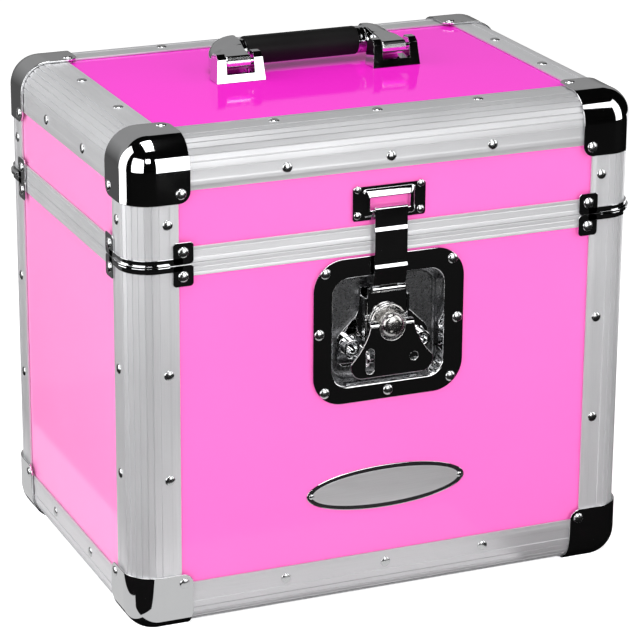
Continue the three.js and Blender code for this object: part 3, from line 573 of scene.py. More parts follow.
# The rivets that hold the frame together: domed steel heads, chrome plated, pressed down on the
# flanges, the ball corners' tabs and the braces.
head_radius = 3.7 * mm
head_rise = 1.4 * mm
head_foot = 0.15 * mm
head_root = -0.3 * mm
row_drop = 26 * mm
row_front = (-75.2 * mm, 0, 75.2 * mm)
row_side = (-39 * mm, 39 * mm)
upright_x = 159.4 * mm
upright_y = 107 * mm
upright_heights = {"case": (188.3 * mm, 113.3 * mm), "lid": (292.6 * mm,)}
top_front_x = (-75 * mm, 0, 75 * mm)
top_front_y = 108 * mm
top_side_x = 159.5 * mm
top_side_y = 38 * mm
ball_rivet = 35.5 * mm
brace_rivet = 8.2 * mm


def turned(name, profile, steps=32):
    """A piece turned on the z axis: each pair is a radius and a height."""
    turns = [math.radians(360 * k / steps) for k in range(steps)]
    rings = [[(radius * math.cos(a), radius * math.sin(a), z) for a in turns] for radius, z in profile]
    return loft(name, rings)


dome = [(head_radius, head_root), (head_radius, head_foot)]
for k in range(1, 7):
    turn = math.radians(90 * k / 6)
    dome.append((head_radius * math.cos(turn), head_foot + (head_rise - head_foot) * math.sin(turn)))
rivet = smooth(turned("rivet", dome, 20), 50)
head_plating = chrome("rivet plating", 0.2)


def rivets(name, body, places):
    """One set of rivets: each place is a point and the way that its head faces."""
    made = []
    for i, (point, way) in enumerate(places):
        out = Vector(way)
        across = out.orthogonal().normalized()
        head = twin(rivet, f"{name} {i}")
        made.append(seat(head, point, across, out.cross(across), out))
    return fit_out(merge(name, made), body, head_plating, "chrome")


for owner, word, level, up in levels:
    z = level + up * row_drop
    heights = upright_heights[owner]
    for sy, end in ends:
        y = sy * (half_depth - flange_drop)
        spots = [((x, y, z), (0, sy, 0)) for x in row_front]
        spots += [((sx * upright_x, y, h), (0, sy, 0)) for sx in (-1, 1) for h in heights]
        rivets(f"{owner}_rivets_{end}", owner, spots)
    for sx, side in sides:
        x = sx * (half_width - flange_drop)
        spots = [((x, y, z), (sx, 0, 0)) for y in row_side]
        spots += [((x, sy * upright_y, h), (sx, 0, 0)) for sy in (-1, 1) for h in heights]
        rivets(f"{owner}_rivets_{side}", owner, spots)
z = top_z - flange_drop
spots = [((x, sy * top_front_y, z), (0, 0, 1)) for x in top_front_x for sy in (-1, 1)]
spots += [((sx * top_side_x, sy * top_side_y, z), (0, 0, 1)) for sx in (-1, 1) for sy in (-1, 1)]
rivets("lid_rivets_top", "lid", spots)


def corner_spots(inward, out, z, top=None):
    """Places on both faces of each corner, and also on the top where its height is given."""
    spots = []
    for sx, sy, corner in corners:
        x, y = sx * (half_width - inward), sy * (half_depth - inward)
        spots.append(((sx * (half_width + out), y, z), (sx, 0, 0)))
        spots.append(((x, sy * (half_depth + out), z), (0, sy, 0)))
        if top:
            spots.append(((x, y, top), (0, 0, 1)))
    return spots


for owner, word, level, up in levels:
    top = level + ball_out if owner == "lid" else None
    rivets(f"{owner}_corner_rivets", owner, corner_spots(ball_rivet, ball_out, level + up * ball_rivet, top))
for owner, level, up in seam_levels:
    rivets(f"{owner}_brace_rivets", owner, corner_spots(tab_middle, brace_out, level + up * brace_rivet))

# The latch dish: a pressed steel tray, chrome plated, let into the front panel and riveted to it.
# Its flange is polished; the tray's floor keeps the grainy, rougher surface of the pressing, and its darker
# colour there is painted shade.
spindle_z = 205.2 * mm
front_y = -half_depth
latch_line = (0, front_y, spindle_z)
out_front = ((1, 0, 0), (0, 0, 1), (0, -1, 0))
forward = (0, -1, 0)
dish_wide, dish_tall, dish_corner = 112 * mm, 104.2 * mm, 22 * mm
dish_rise = -3 * mm
flange_face = 0.3 * mm
mouth_round = 1.6 * mm
tray_wide, tray_tall, tray_corner = 82.4 * mm, 76.8 * mm, 11.5 * mm
tray_rise = -4 * mm
tray_floor = 12.8 * mm
tray_draft = 2 * mm
floor_round = 3 * mm
recess_from = 9.5 * mm
dish_wall = 1.15 * mm
dish_rivets = ((47.2, 245.3), (51.4, 202.3), (47.2, 159.6))
low_rivet = (0, 156.2)


def pressed_steel():
    finish = Finish("pressed steel")
    apart = finish.node("ShaderNodeSeparateXYZ", {}, {"Vector": finish.place()}, 1)
    inside = apart > front_y + recess_from
    grain = finish.noise(1100.0, 4.0)
    wave = finish.noise(26.0)
    cloud = finish.noise(45.0, 3.0)
    # The recess's dark colour is painted shade; its grain and roughness are the pressing's own.
    recess_painted_shade = finish.blend(grain, (0.2, 0.2, 0.21), (0.38, 0.38, 0.39))
    bright = finish.blend(cloud, chrome_dull, chrome_bright)
    finish.shade(
        Base_Color=finish.blend(inside, bright, recess_painted_shade),
        Metallic=1.0,
        Roughness=0.04 + inside * (0.14 + grain * 0.2),
        Normal=finish.bump(wave + inside * grain * 0.6, 0.12 * mm, 0.7),
    )
    return finish.material


def sunk(outline, inward, rise=0.0):
    """A ring of the latch's own axes: x, height from the spindle, distance out of the front plane."""
    return [(x, z + rise, -inward) for x, z in outline]


rings = []
for less, inward in ((0, 1.1 * mm), (0, 0.75 * mm), (0.15 * mm, 0.42 * mm), (0.5 * mm, flange_face)):
    shape = rounded_rectangle(dish_wide - 2 * less, dish_tall - 2 * less, dish_corner - less, 12)
    rings.append(sunk(shape, inward, dish_rise))
for k in range(6):
    turn = math.radians(90 * k / 5)
    more = 2 * mouth_round * (1 - math.sin(turn))
    shape = rounded_rectangle(tray_wide + more, tray_tall + more, tray_corner + more / 2, 12)
    rings.append(sunk(shape, flange_face + mouth_round * (1 - math.cos(turn)), tray_rise))
for k in range(7):
    turn = math.radians(90 * k / 6)
    less = 2 * (tray_draft + floor_round * (1 - math.cos(turn)))
    shape = rounded_rectangle(tray_wide - less, tray_tall - less, tray_corner - less / 2 + tray_draft, 12)
    rings.append(sunk(shape, tray_floor - floor_round * (1 - math.sin(turn)), tray_rise))
dish = loft("latch_tray", rings[::-1])
# The loft closed both ends: the tray's floor stays, and the face behind the flange comes off.
choose(dish, "FACE", lambda face: len(face.verts) > 4 and face.calc_center_median().z > -tray_floor / 2)
bpy.ops.mesh.delete(type="FACE")
bpy.ops.mesh.select_all(action="SELECT")
bpy.ops.mesh.normals_make_consistent(inside=False)
bpy.ops.object.mode_set(mode="OBJECT")
floor_face = max(dish.data.polygons, key=lambda face: len(face.vertices))
if floor_face.normal.z < 0:
    dish.data.flip_normals()
thicken(dish, dish_wall, even=False)
smooth(dish, 35)
seat(dish, latch_line, *out_front)
fit_out(dish, "case", pressed_steel(), "chrome", "latch_dish")
places = [(sx * x, z) for x, z in dish_rivets for sx in (-1, 1)] + [low_rivet]
spots = [((x * mm, front_y + flange_face, z * mm), forward) for x, z in places]
rivets("latch_tray_rivets", "case", spots)

# The latch's base on the tray's floor: a bell of plate with a guide block and its two rails, two
# hollow posts and a padlock eye of round bar, welded on and plated. The carriage slides between
# the rails.
as_drawn = ((1, 0, 0), (0, 1, 0), (0, 0, 1))
foot_back, foot_front, foot_edge = -12.5 * mm, -11 * mm, 0.5 * mm
guide_half, guide_low, guide_high = 16.6 * mm, -13.4 * mm, 18 * mm
guide_back, guide_front, guide_edge = -12.4 * mm, -5.9 * mm, 0.6 * mm
rail_wide, rail_back, rail_front, rail_edge = 2 * mm, -6.2 * mm, -3.6 * mm, 0.4 * mm
spindle_bore, overrun = 4.15 * mm, 2 * mm
slide_edge = 0.3 * mm
post_x, post_z = 26.3 * mm, -16.1 * mm
eye_x, eye_z = 16.4 * mm, -24.3 * mm
eye_bar, eye_bend, eye_foot, eye_middle = 1.5 * mm, 5.5 * mm, -11.5 * mm, -2.8 * mm


def in_mm(pairs):
    """Pairs of millimetres, in the scene's metres."""
    return [(u * mm, v * mm) for u, v in pairs]


def mirrored(side):
    """The points of the right side, then those of the left side back to the first one's level."""
    return side + [(-x, z) for x, z in reversed(side)]


def drill(piece, cutter):
    """Cuts one closed shape out of a piece."""
    work(piece, "BOOLEAN", object=cutter, operation="DIFFERENCE", solver="EXACT")
    bpy.data.objects.remove(cutter)


def rod(name, radius, start, end, steps=24):
    return turned(name, [(radius, start), (radius, end)], steps)


def block(name, left, right, back, front):
    """A block as high as the guide, between its left and right sides and its back and front."""
    outline = ((right, guide_high), (left, guide_high), (left, guide_low), (right, guide_low))
    return bar(name, outline, back, front)


foot_side = [
    (16.5, 24), (18.5, 7), (20, 3.6), (32.4, -8.3), (34, -11.6), (34, -26.6), (33.2, -28.4),
    (30.4, -31.6), (28.6, -32.4),
]
foot = bar("foot", in_mm(mirrored(foot_side)), foot_back, foot_front)
drill(foot, rod("bore", spindle_bore, foot_back - overrun, foot_front + overrun))
guide = block("guide", -guide_half, guide_half, guide_back, guide_front)
drill(guide, rod("bore", spindle_bore, guide_back - overrun, guide_front + overrun))
base_parts = [soften(foot, foot_edge, 3, 30), soften(guide, guide_edge, 3, 30)]
post_profile = [
    (0, -10), (3.3, -10), (3.6, -9.7), (3.6, -2.7), (3.75, -2.3), (4.2, -2), (5.4, -2),
    (5.8, -2.2), (6, -2.7), (6, -10.2), (6.3, -10.8), (7, -11.1), (0, -11.1),
]
for side in (-1, 1):
    left, right = sorted((side * (guide_half - rail_wide), side * guide_half))
    base_parts.append(soften(block("rail", left, right, rail_back, rail_front), rail_edge, 2, 30))
    post = turned("post", in_mm(post_profile), 40)
    base_parts.append(seat(post, (side * post_x, post_z, 0), *as_drawn))
eye_path = [(eye_middle, -90 + 180 * k / 16) for k in range(17)]
eye_rings = []
for out, degrees in [(eye_foot, -90), *eye_path, (eye_foot, 90)]:
    way = math.radians(degrees)
    ring = []
    for k in range(16):
        around = math.radians(360 * k / 16)
        reach = eye_bend + eye_bar * math.cos(around)
        ring.append((eye_bar * math.sin(around), reach * math.sin(way), out + reach * math.cos(way)))
    eye_rings.append(ring)
eye = loft("eye", eye_rings)
base_parts.append(seat(eye, (-eye_x, eye_z, 0), *as_drawn))
base = smooth(merge("latch_footing", base_parts), 35)
seat(base, latch_line, *out_front)
plated(base, "case", "latch_base")
slide = recast("latch_carriage", "latch_slide")
soften(slide, slide_edge, 2, 35)
smooth(slide, 40)
plated(slide, "latch_carriage", "latch_carriage")

# The spindle: a turned steel shaft with a broad hub, a neck and a domed head that has two holes for
# a pin spanner. Two trunnions through the neck carry the wing.
along_x = ((0, 1, 0), (0, 0, 1), (1, 0, 0))
trunnion_rise = 3 * mm
trunnion_radius, trunnion_end = 1.5 * mm, 16 * mm
spanner_radius, spanner_out, spanner_floor = 1.05 * mm, 3.9 * mm, 7 * mm
spanner_turns = (62, 242)
head_top = 9 * mm
shaft_profile = [
    (3.6, -12.2), (4, -11.8), (4, -3.3), (12.6, -3.3), (13, -2.9), (13, -1.1), (12.6, -0.6),
    (11.9, -0.3), (9.2, -0.3), (8.9, -0.6), (7.5, -0.6), (7, -0.3), (7, 2.6), (8.0, 2.9),
    (8.5, 3.5), (8.5, 5.0), (8.35, 6.0), (7.9, 7.0), (7.1, 7.9), (6.0, 8.5), (4.6, 8.85),
    (2.6, 9.0), (0, 9.0),
]
shaft = turned("shaft", in_mm(shaft_profile), 48)
for degrees in spanner_turns:
    turn = math.radians(degrees)
    hole = rod("spanner hole", spanner_radius, spanner_floor, head_top + overrun, 16)
    drill(shaft, seat(hole, (spanner_out * math.cos(turn), spanner_out * math.sin(turn), 0), *as_drawn))
pin = rod("trunnion", trunnion_radius, -trunnion_end, trunnion_end)
seat(pin, (0, 0, trunnion_rise), *along_x)
spindle = smooth(merge("latch_turning_head", [shaft, pin]), 35)
seat(spindle, latch_line, *out_front)
worn = Finish("worn steel head")
pits = worn.noise(900.0, 4.0)
rub = worn.noise(160.0, 3.0)
worn.shade(
    Base_Color=worn.blend(rub * 0.6 + pits * 0.4, (0.42, 0.41, 0.40), (0.86, 0.85, 0.83)),
    Metallic=1.0,
    Roughness=worn.ramp(pits, 0.3, 0.7, 0.1, 0.3),
    Normal=worn.bump(pits, 0.1 * mm, 0.8),
)
fit_out(spindle, "latch_spindle", worn.material, "chrome", "latch_spindle")

# The wing: a bell of 1.5 mm plated plate that folds out to turn the spindle. It has a notch for the
# head, a slot over the padlock eye, a round hole, and a rolled knuckle on each side of the notch.
wing_back, wing_front = 4.5 * mm, 6 * mm
wing_flare = ((17, -3.5), (20.4, -14.5), (30.4, -25))
wing_corner, wing_corner_x, wing_corner_z = 8.5, 21.9, -27.8
notch_radius, notch_z = 9.5, -1.4
wing_edge = 0.7 * mm
slot_wide, slot_tall, slot_round = 6.4 * mm, 18 * mm, 3.18 * mm
hole_radius = 3 * mm
wing_side = [(16.2, 0)]
for k in range(11):
    t = k / 10
    weights = ((1 - t) ** 2, 2 * t * (1 - t), t ** 2)
    wing_side.append(tuple(sum(w * c for w, c in zip(weights, axis)) for axis in zip(*wing_flare)))
for k in range(9):
    turn = math.radians(90 * k / 8)
    x = wing_corner_x + wing_corner * math.cos(turn)
    wing_side.append((x, wing_corner_z - wing_corner * math.sin(turn)))
notch = [(-notch_radius, 0)]
for k in range(17):
    turn = math.radians(180 * k / 16)
    notch.append((-notch_radius * math.cos(turn), notch_z - notch_radius * math.sin(turn)))
notch.append((notch_radius, 0))
wing_plate = bar("wing plate", in_mm(mirrored(wing_side) + notch), wing_back, wing_front)
slot_cut = bar("slot", rounded_rectangle(slot_wide, slot_tall, slot_round, 8), 0, 2 * wing_front)
drill(wing_plate, seat(slot_cut, (-eye_x, eye_z, 0), *as_drawn))
hole_cut = rod("hole", hole_radius, 0, 2 * wing_front, 32)
drill(wing_plate, seat(hole_cut, (eye_x, eye_z, 0), *as_drawn))
soften(wing_plate, wing_edge, 4, 40)
wing_parts = [wing_plate]
for side in (-1, 1):
    roll = turned("roll", in_mm([(2.6, 9.6), (3, 10), (3, 15.8), (2.6, 16.2)]))
    wing_parts.append(seat(roll, (0, 0, trunnion_rise), (0, 1, 0), (0, 0, 1), (side, 0, 0)))
wing = smooth(merge("latch_bell_wing", wing_parts), 35)
seat(wing, latch_line, *out_front)
plated(wing, "latch_wing", "latch_wing")

# The hook: a bent strap of 1.8 mm plated steel that swings on the carriage's knuckle. Two shallow
# joggles cross it, and its top turns in over the keeper's bar.
hook_x = -1.1 * mm
hook_half = 12.1 * mm
hook_edge = 0.35 * mm
knuckle_radius, knuckle_half = 2.8 * mm, 6 * mm
knuckle_place = (0, 24.8 * mm, -0.8 * mm)
tongue_wide, tongue_tall, tongue_round = 12 * mm, 3.2 * mm, 0.3 * mm
tongue_z, tongue_back, tongue_front = 28.1 * mm, 0.2 * mm, 1.7 * mm
hook_face = [
    (2.0, 27.9), (4.72, 40.2), (4.8, 40.8), (4.78, 41.3), (4.4, 42.7), (4.3, 43.1), (4.25, 43.6),
    (4.25, 66.5), (4.24, 67.0), (4.2, 67.3), (3.98, 69.1), (3.92, 69.5), (3.9, 69.9), (3.9, 82.5),
]
hook_tip = [(3.6, 83.2), (3.0, 83.65), (-0.1, 83.65), (-0.1, 81.9), (2.1, 81.9)]
hook_back = [(2.1, 69.6), (2.45, 66.6), (2.45, 43.4), (3.0, 40.5), (0.2, 27.9)]
hook_strap = bar("hook strap", in_mm(hook_face + hook_tip + hook_back), -hook_half, hook_half)
seat(hook_strap, (0, 0, 0), (0, 0, 1), (0, 1, 0), (1, 0, 0))
soften(hook_strap, hook_edge, 2, 55)
knuckle = rod("hook knuckle", knuckle_radius, -knuckle_half, knuckle_half, 32)
seat(knuckle, knuckle_place, *along_x)
tongue_shape = rounded_rectangle(tongue_wide, tongue_tall, tongue_round, 2)
tongue = seat(bar("tongue", tongue_shape, tongue_back, tongue_front), (0, tongue_z, 0), *as_drawn)
hook = smooth(merge("latch_strap_hook", [hook_strap, knuckle, tongue]), 35)
seat(hook, (hook_x, front_y, spindle_z), *out_front)
plated(hook, "latch_hook", "latch_hook")

# The keeper: a plated pressing on the lid with a raised bevelled frame round the opening that takes
# the hook's lip. Four rivets hold it.
keeper_z = 291.35 * mm
keeper_edge = 0.35 * mm
opening_rise = -0.2
keeper_rivet_x = 23.2 * mm
keeper_rivet_low, keeper_rivet_high = -8.05 * mm, 10.15 * mm
keeper_rivet_share = 0.72
keeper_rings = []
for wide, high, corner, inward, rise in (
    (53.8, 23.8, 2.0, 1.5, 0),
    (53.8, 23.8, 2.0, 0.3, 0),
    (38.0, 19.6, 2.4, 0.3, 0),
    (35.2, 16.8, 2.0, -0.95, 0),
    (30.8, 10.4, 1.0, -1.75, opening_rise),
    (29.4, 8.8, 0.6, -1.6, opening_rise),
    (29.4, 8.8, 0.6, 1.5, opening_rise),
):
    shape = rounded_rectangle(wide * mm, high * mm, corner * mm)
    keeper_rings.append(sunk(shape, inward * mm, rise * mm))
keeper = loft("latch_strike_plate", keeper_rings + keeper_rings[:1])
soften(keeper, keeper_edge, 2, 30)
smooth(keeper, 35)
seat(keeper, (hook_x, front_y, keeper_z), *out_front)
plated(keeper, "lid", "latch_keeper")
spots = []
for x in (-keeper_rivet_x, keeper_rivet_x):
    for z in (keeper_rivet_low, keeper_rivet_high):
        spots.append(((hook_x + x, front_y + flange_face, keeper_z + z), forward))
rivet.data.transform(Matrix.Scale(keeper_rivet_share, 4))
rivets("latch_strike_rivets", "lid", spots)

# The oval plate on the front: enamelled black with a bright edge, and a bare satin field. The
# rivets at its ends hold it to the panel.
badge_z = 84.8 * mm
badge_line = (0, front_y + 1.8 * mm, badge_z)
badge_rivet_x = 56 * mm
badge_rivet_y = front_y + 1.15 * mm
badge_rivet_share = 0.75


def oval(name, wide, high, profile, steps=96):
    """An oval piece; each pair of its profile is how much smaller than its size and how high it is."""
    turns = [math.radians(360 * k / steps) for k in range(steps)]
    rings = []
    for less, rise in profile:
        across, tall = (wide - less) / 2 * mm, (high - less) / 2 * mm
        rings.append([(across * math.cos(a), tall * math.sin(a), rise * mm) for a in turns])
    return loft(name, rings)


enamel = Finish("black enamel")
enamel.shade(
    Base_Color=enamel.blend(enamel.noise(30.0), (0.012, 0.012, 0.013), (0.02, 0.02, 0.021)),
    Roughness=enamel.ramp(enamel.noise(300.0), 0.3, 0.7, 0.16, 0.24),
    Normal=enamel.bump(enamel.noise(500.0), 0.02 * mm, 0.4),
)
satin = Finish("satin field")
fine = satin.noise(2200.0, 3.0, (0.02, 1, 1))
satin.shade(
    Base_Color=satin.blend(fine, (0.74, 0.74, 0.75), (0.86, 0.86, 0.87)),
    Metallic=0.75,
    Roughness=satin.ramp(fine, 0.3, 0.7, 0.3, 0.4),
    Normal=satin.bump(fine, 0.01 * mm, 0.4),
)
edge_profile = ((0, 0), (0, 0.6), (0.6, 0.9), (1.4, 0.9), (1.8, 0.6), (1.8, 0), (0, 0))
field_profile = ((0, 0.4), (0, 0.65), (0.6, 0.75))
for word, wide, high, profile, angle, finish, slot in (
    ("edge", 119.5, 32, edge_profile, 50, plating, "chrome"),
    ("border", 117.6, 30.1, ((0, 0), (0, 0.5)), 50, enamel.material, "chrome"),
    ("field", 111, 25, field_profile, 40, satin.material, "aluminium"),
):
    piece = smooth(oval(f"oval_plate_{word}", wide, high, profile), angle)
    fit_out(seat(piece, badge_line, *out_front), "case", finish, slot)
rivet.data.transform(Matrix.Scale(badge_rivet_share, 4))
spots = [((x, badge_rivet_y, badge_z), forward) for x in (-badge_rivet_x, badge_rivet_x)]
rivets("oval_plate_rivets", "case", spots)
bpy.data.objects.remove(rivet)

# The handle's brackets and arms: chrome plated castings. Each arm has a barrel on the bracket's pin
# and sweeps back and inward to the grip, its outer side well rounded.
handle_y = 3 * mm
handle_z = 360.8 * mm
front_lean = 0.16
bracket_foot = -9 * mm
bracket_front = -2.3 * mm
bracket_horn = 5 * mm
bracket_edge = 0.9 * mm
arm_x = {"left": -57.2 * mm, "right": 61.4 * mm}
for side in ("left", "right"):
    piece = recast(f"handle_bracket_{side}", f"handle_post_{side}")
    for vertex in piece.data.vertices:
        y, z = vertex.co.y - handle_y, vertex.co.z - handle_z
        if y < bracket_front or (y < 0 and z > bracket_horn):
            vertex.co.y += front_lean * (z - bracket_foot)
    soften(piece, bracket_edge, 3, 25)
    smooth(piece, 30)
    plated(piece, "lid", f"handle_bracket_{side}")


def arm_ring(y, inner, outer, low, high, side_round, top_round):
    """A section of the arm; the two rounds shape its outer top edge, the rest is lightly rounded."""
    small = 0.8
    quarters = (
        (outer - side_round, high - top_round, side_round, top_round),
        (inner + small, high - small, small, small),
        (inner + small, low + small, small, small),
        (outer - small, low + small, small, small),
    )
    ring = []
    for quarter, (x, z, wide, tall) in enumerate(quarters):
        for k in range(9):
            turn = math.radians(90 * (quarter + k / 8))
            ring.append(((x + wide * math.cos(turn)) * mm, y * mm, (z + tall * math.sin(turn)) * mm))
    return ring


arm_sections = (
    (-2.2, -8.9, 8.9, -2.8, 3.0, 0.8, 0.8),
    (-1.4, -9.1, 9.1, -3.4, 3.9, 0.9, 0.8),
    (0.0, -9.1, 9.1, -3.8, 4.4, 1.0, 0.8),
    (5.0, -9.1, 9.1, -5.2, 5.4, 2.5, 1.4),
    (10.0, -9.1, 9.1, -6.8, 6.5, 5.0, 3.0),
    (12.6, -9.3, 9.3, -7.6, 7.1, 8.0, 4.5),
    (13.6, -9.4, 9.5, -8.8, 7.3, 9.5, 5.4),
    (15.5, -9.7, 9.9, -9.4, 7.8, 12.0, 7.2),
    (19.0, -10.2, 10.7, -9.6, 8.8, 17.0, 10.5),
    (23.0, -10.6, 11.4, -9.6, 9.6, 20.0, 13.0),
)
arm_rings = [arm_ring(*section) for section in arm_sections]
arm_inner, arm_low, arm_high, arm_top, arm_slope = -10.6, -9.6, 9.8, 10.5, 0.1
elbow_x, elbow_y, elbow_round, tip_round = -4.6, 24, 16, 8
tip_y = elbow_y + elbow_round - tip_round
side_share, top_share, height_share = 0.9, 0.65, 0.8
# The elbow's last ring stops a little short of a quarter turn, where the arm meets the ferrule.
for k in range(1, 13):
    turn = math.radians(90 * k / 12.6)
    y = elbow_y + elbow_round * math.sin(turn)
    outer = elbow_x + elbow_round * math.cos(turn)
    fall = tip_round - math.sqrt(tip_round ** 2 - max(0.0, y - tip_y) ** 2)
    high = min(arm_high + arm_slope * (y - elbow_y), arm_top) - fall
    low = arm_low + fall
    side_round = side_share * (outer - arm_inner)
    top_round = min(top_share * side_round, height_share * (high - low))
    arm_rings.append(arm_ring(y, arm_inner, outer, low, high, side_round, top_round))
arm = smooth(loft("arm", arm_rings), 45)
barrel_profile = [(3.4, -9.1), (4, -8.5), (4, 8.5), (3.4, 9.1)]
barrel = smooth(turned("barrel", in_mm(barrel_profile)), 35)
seat(barrel, (0, 0, 0), *along_x)
for sx, side in sides:
    pivot = ((arm_x[side], handle_y, handle_z), (sx, 0, 0), (0, 1, 0), (0, 0, 1))
    piece = seat(twin(arm, f"handle_swing_arm_{side}"), *pivot)
    plated(piece, "handle", f"handle_arm_{side}")
    piece = seat(twin(barrel, f"handle_arm_barrel_{side}"), *pivot)
    fit_out(piece, "handle", head_plating, "chrome")
bpy.data.objects.remove(arm)
bpy.data.objects.remove(barrel)

# The grip: a black moulded sleeve on a steel tube, with a chrome ferrule at each end that the arm
# holds.
rubber = Finish("black grip")
grain = rubber.noise(700.0, 3.0)
rubber.shade(
    Base_Color=rubber.blend(rubber.noise(40.0), (0.005, 0.005, 0.005), (0.009, 0.009, 0.009)),
    Roughness=rubber.ramp(grain, 0.3, 0.7, 0.36, 0.46),
    Specular_IOR_Level=0.1,
    Normal=rubber.bump(grain, 0.05 * mm, 0.5),
)
grip_line = (0, 30 * mm, 361.0 * mm)
sleeve_left, sleeve_right = -42.3, 43.2
sleeve_round = [(9.0, 0), (9.7, 0.15), (10.05, 0.5), (10.2, 1.2)]
sleeve_profile = [(radius, sleeve_left + inward) for radius, inward in sleeve_round]
sleeve_profile += [(radius, sleeve_right - inward) for radius, inward in reversed(sleeve_round)]
sleeve = smooth(turned("handle_sleeve", in_mm(sleeve_profile), 64), 40)
seat(sleeve, grip_line, *along_x)
fit_out(sleeve, "handle", rubber.material, "black_grip", "handle_grip")
ferrule_steps = {
    "left": [(8.9, -46.5), (8.9, -44.6), (8.6, -44.3), (8.6, -42.0)],
    "right": [
        (9.7, 43.0), (9.7, 44.6), (9.2, 44.9), (9.2, 45.3), (9.7, 45.6), (9.7, 48.0), (9.2, 48.3),
        (9.2, 48.7), (9.6, 49.0), (9.6, 50.5),
    ],
}
for side, steps in ferrule_steps.items():
    ferrule = smooth(turned(f"handle_ferrule_{side}", in_mm(steps), 48), 40)
    seat(ferrule, grip_line, *along_x)
    plated(ferrule, "handle")

# The long hinge at the back: two leaves of aluminium sheet with rolled knuckles that take turns on
# one pin. One leaf is fixed to the box and the other to the lid.
hinge_edge = 0.2 * mm
for node, owner in (("hinge_case_leaf", "case"), ("hinge_lid_leaf", "lid")):
    piece = recast(node, f"long_hinge_{owner}")
    soften(piece, hinge_edge, 2, 50)
    smooth(piece, 40)
    fit_out(piece, owner, rim_aluminium_painted_light, "aluminium", node)

# The linings: trays of grey foam, 4 mm thick, glued inside the box and the lid. The box's has a
# window for the back of the latch dish.
foam_wide, foam_deep, foam_thick = 352.2 * mm, 244.7 * mm, 4 * mm
foam_edge = 0.9 * mm
foam_levels = {"case": (11.7 * mm, 255.55 * mm), "lid": (276.35 * mm, 338.9 * mm)}
window_room, window_depth = 1.5 * mm, 30 * mm
foam = Finish("grey foam")
cells = foam.node("ShaderNodeTexVoronoi", {}, {"Vector": foam.place(), "Scale": 900.0})
pores = foam.noise(1400.0, 4.0)
foam.shade(
    Base_Color=foam.blend(cells, (0.018, 0.018, 0.02), (0.07, 0.07, 0.075)),
    Roughness=foam.ramp(pores, 0.3, 0.7, 0.86, 0.97),
    Normal=foam.bump(cells * 0.7 + pores * 0.5, 0.4 * mm, 0.8),
)


def lining(name, low, high, open_way):
    """A tray of foam between two heights, open upward or downward."""
    size = (foam_wide, foam_deep, high - low)
    bpy.ops.mesh.primitive_cube_add(size=1, location=(0, 0, (low + high) / 2), scale=size)
    tray = bpy.context.object
    tray.name = name
    bpy.ops.object.transform_apply(location=True, rotation=True, scale=True)
    choose(tray, "FACE", lambda face: face.normal.z * open_way > 0.5)
    bpy.ops.mesh.delete(type="FACE")
    bpy.ops.object.mode_set(mode="OBJECT")
    return thicken(tray, foam_thick)


box_foam = lining("box_lining", *foam_levels["case"], 1)
window_size = (tray_wide + 2 * window_room, tray_tall + 2 * window_room, tray_corner + window_room)
window = bar("window", rounded_rectangle(*window_size), -window_depth, 0)
drill(box_foam, seat(window, (0, front_y, spindle_z + tray_rise), *out_front))
lid_foam = lining("lid_lining", *foam_levels["lid"], -1)
for tray, owner in ((box_foam, "case"), (lid_foam, "lid")):
    soften(tray, foam_edge, 2, 50)
    smooth(tray, 40)
    fit_out(tray, owner, foam.material, "foam", f"{owner}_foam_lining")

# The studio: a white floor and background, soft lights, and dark screens round the object that only
# shiny surfaces see, as plated pieces are photographed with.
floor_size = 14
floor_glow = 0.62
ambient = 0.34
top_of_case = (0, -0.05, 0.33)
# Each row: name, place, the point that it faces, width, height and glow, then the glow's share at
# its foot where that differs.
screens = (
    ("front_floor_screen", (0, -1.93, 0.003), (0, -1.93, 1), 8.0, 4.14, 0.0),
    ("left_floor_screen", (-2.095, 2.07, 0.003), (-2.095, 2.07, 1), 3.81, 3.86, 0.0),
    ("near_front_screen", (-0.04, -0.195, 0.004), (-0.04, -0.195, 1), 0.3, 0.13, 0.62),
    ("near_left_screen", (-0.213, 0.07, 0.004), (-0.213, 0.07, 1), 0.055, 0.4, 0.62),
    ("left_back_floor_screen", (-1.2, 1.475, 0.004), (-1.2, 1.475, 1), 1.9, 2.25, 0.09),
    ("front_screen", (0.0, -3.6, 1.4), top_of_case, 7.0, 3.0, 0.0),
    ("left_screen", (-3.4, 0.0, 1.4), top_of_case, 7.0, 3.0, 0.0),
    ("right_screen", (3.4, 0.0, 1.4), top_of_case, 7.0, 3.0, 0.0),
    ("top_screen", (0, 0, 3.0), top_of_case, 8.0, 8.0, 0.0),
    ("back_screen", (0.4, 2.6, 1.5), (0.4, 0, 1.5), 7.0, 3.0, 0.3, 0.3),
)
# Each row: name, place, the point that it faces, width, height and brightness.
lamps = (
    ("front_panel_lamp", (0.24, -1.05, 0.51), (0.24, 0, 0.51), 0.42, 0.84, 2.7),
    ("left_panel_lamp", (-0.905, 0.21, 0.6), (-0.18, -0.13, 0.5), 0.55, 1.15, 2.3),
    ("front_left_lamp", (-0.86, -0.64, 0.52), (-0.18, -0.13, 0.45), 0.7, 0.76, 2.2),
    ("right_lamp", (1.1, -0.85, 0.85), (0.18, -0.13, 0.5), 0.66, 1.5, 2.0),
    ("small_front_lamp", (-0.54, -1.5, 1.1), (-0.18, -0.13, 0.34), 0.42, 0.42, 5.2),
    ("ceiling_lamp", (-0.1, -0.25, 1.93), (-0.1, -0.249, 0.3), 0.8, 1.3, 4.6),
)


def lit(finish, plain):
    """A strength of 1 for what is seen or mirrored, and the plain level for all other light."""
    rays = ("Is Camera Ray", "Is Glossy Ray", "Is Transmission Ray")
    seen, glossy, through = [finish.node("ShaderNodeLightPath", {}, {}, ray) for ray in rays]
    seen = finish.node("ShaderNodeMath", {"operation": "MAXIMUM"}, {0: seen, 1: glossy})
    seen = finish.node("ShaderNodeMath", {"operation": "MAXIMUM"}, {0: seen, 1: through})
    return seen + (1 - seen) * plain


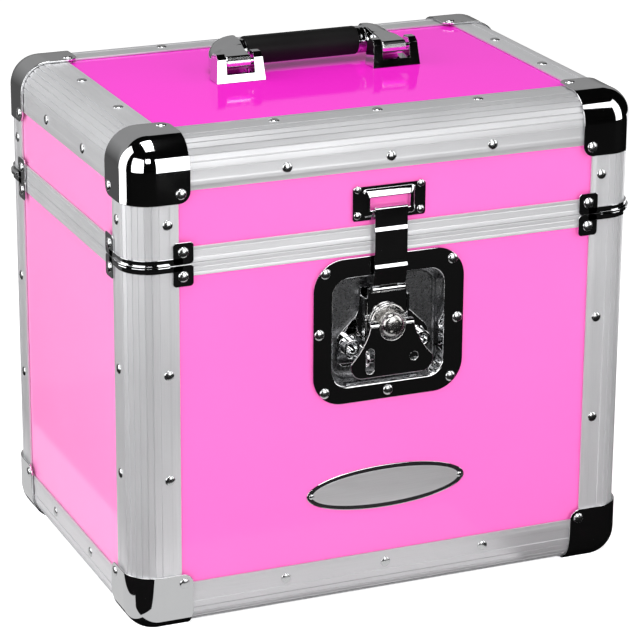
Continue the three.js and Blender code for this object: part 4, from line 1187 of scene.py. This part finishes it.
paper = Finish("white paper")
paper.shade(
    Base_Color=paper.blend(paper.noise(3.0), (0.92, 0.92, 0.92), (0.94, 0.94, 0.94)),
    Roughness=0.9,
    Specular_IOR_Level=0.1,
    Emission_Color=(1, 1, 1, 1),
    Emission_Strength=lit(paper, 0.0) * floor_glow,
)
bpy.ops.mesh.primitive_plane_add(size=floor_size)
ground = bpy.context.object
ground.name = "studio_floor"
dress(ground, paper.material)

world = scene.world or bpy.data.worlds.new("studio")
scene.world = world
sky = Finish("studio light", world)
sky.shade(Color=(1, 1, 1, 1), Strength=lit(sky, ambient))


def screen(name, place, aim, wide, high, glow, foot=1.0):
    """A flat screen that faces a point and that only shiny surfaces see, paler or darker at its foot."""
    cloth = Finish(name)
    tone = cloth.noise(1.5)
    rise = cloth.node("ShaderNodeSeparateXYZ", {}, {"Vector": cloth.place()}, 1)
    rise = cloth.ramp(rise, -0.5, -0.1, 0.0, 1.0)
    cloth.shade(
        Base_Color=cloth.blend(tone, (0.004, 0.004, 0.004), (0.006, 0.006, 0.006)),
        Roughness=1.0,
        Specular_IOR_Level=0.0,
        Emission_Color=cloth.blend(rise, (foot, foot, foot), (1.0, 1.0, 1.0)),
        Emission_Strength=glow,
    )
    turn = (Vector(aim) - Vector(place)).to_track_quat("Z", "Y").to_euler()
    bpy.ops.mesh.primitive_plane_add(size=1, location=place, rotation=turn)
    piece = bpy.context.object
    piece.name = name
    piece.scale = (wide, high, 1)
    dress(piece, cloth.material)
    piece.visible_camera = False
    piece.visible_diffuse = False
    piece.visible_transmission = False
    piece.visible_shadow = False


def softbox(name, place, aim, wide, high, radiance):
    """A soft lamp of the given brightness, as a mirror would show it."""
    data = bpy.data.lights.new(name, "AREA")
    data.shape = "RECTANGLE"
    data.size = wide
    data.size_y = high
    data.energy = radiance * math.pi * wide * high
    lamp = bpy.data.objects.new(name, data)
    scene.collection.objects.link(lamp)
    lamp.location = place
    lamp.rotation_euler = (Vector(aim) - Vector(place)).to_track_quat("-Z", "Y").to_euler()
    lamp.visible_camera = False


for settings in screens:
    screen(*settings)
for settings in lamps:
    softbox(*settings)

camera_place = (-0.78936, -1.86054, 0.87055)
camera_turn = (70.794, -0.274, -22.693)
camera_data = bpy.data.cameras.new("camera")
camera_data.lens = 166.46
camera_data.sensor_width = 36
camera_data.shift_x = 0.0259
camera_data.shift_y = -0.0055
camera_data.clip_end = 50
camera = bpy.data.objects.new("camera", camera_data)
scene.collection.objects.link(camera)
scene.camera = camera
camera.location = camera_place
camera.rotation_euler = [math.radians(degrees) for degrees in camera_turn]
scene.view_settings.view_transform = "Standard"

low, high = cad_box
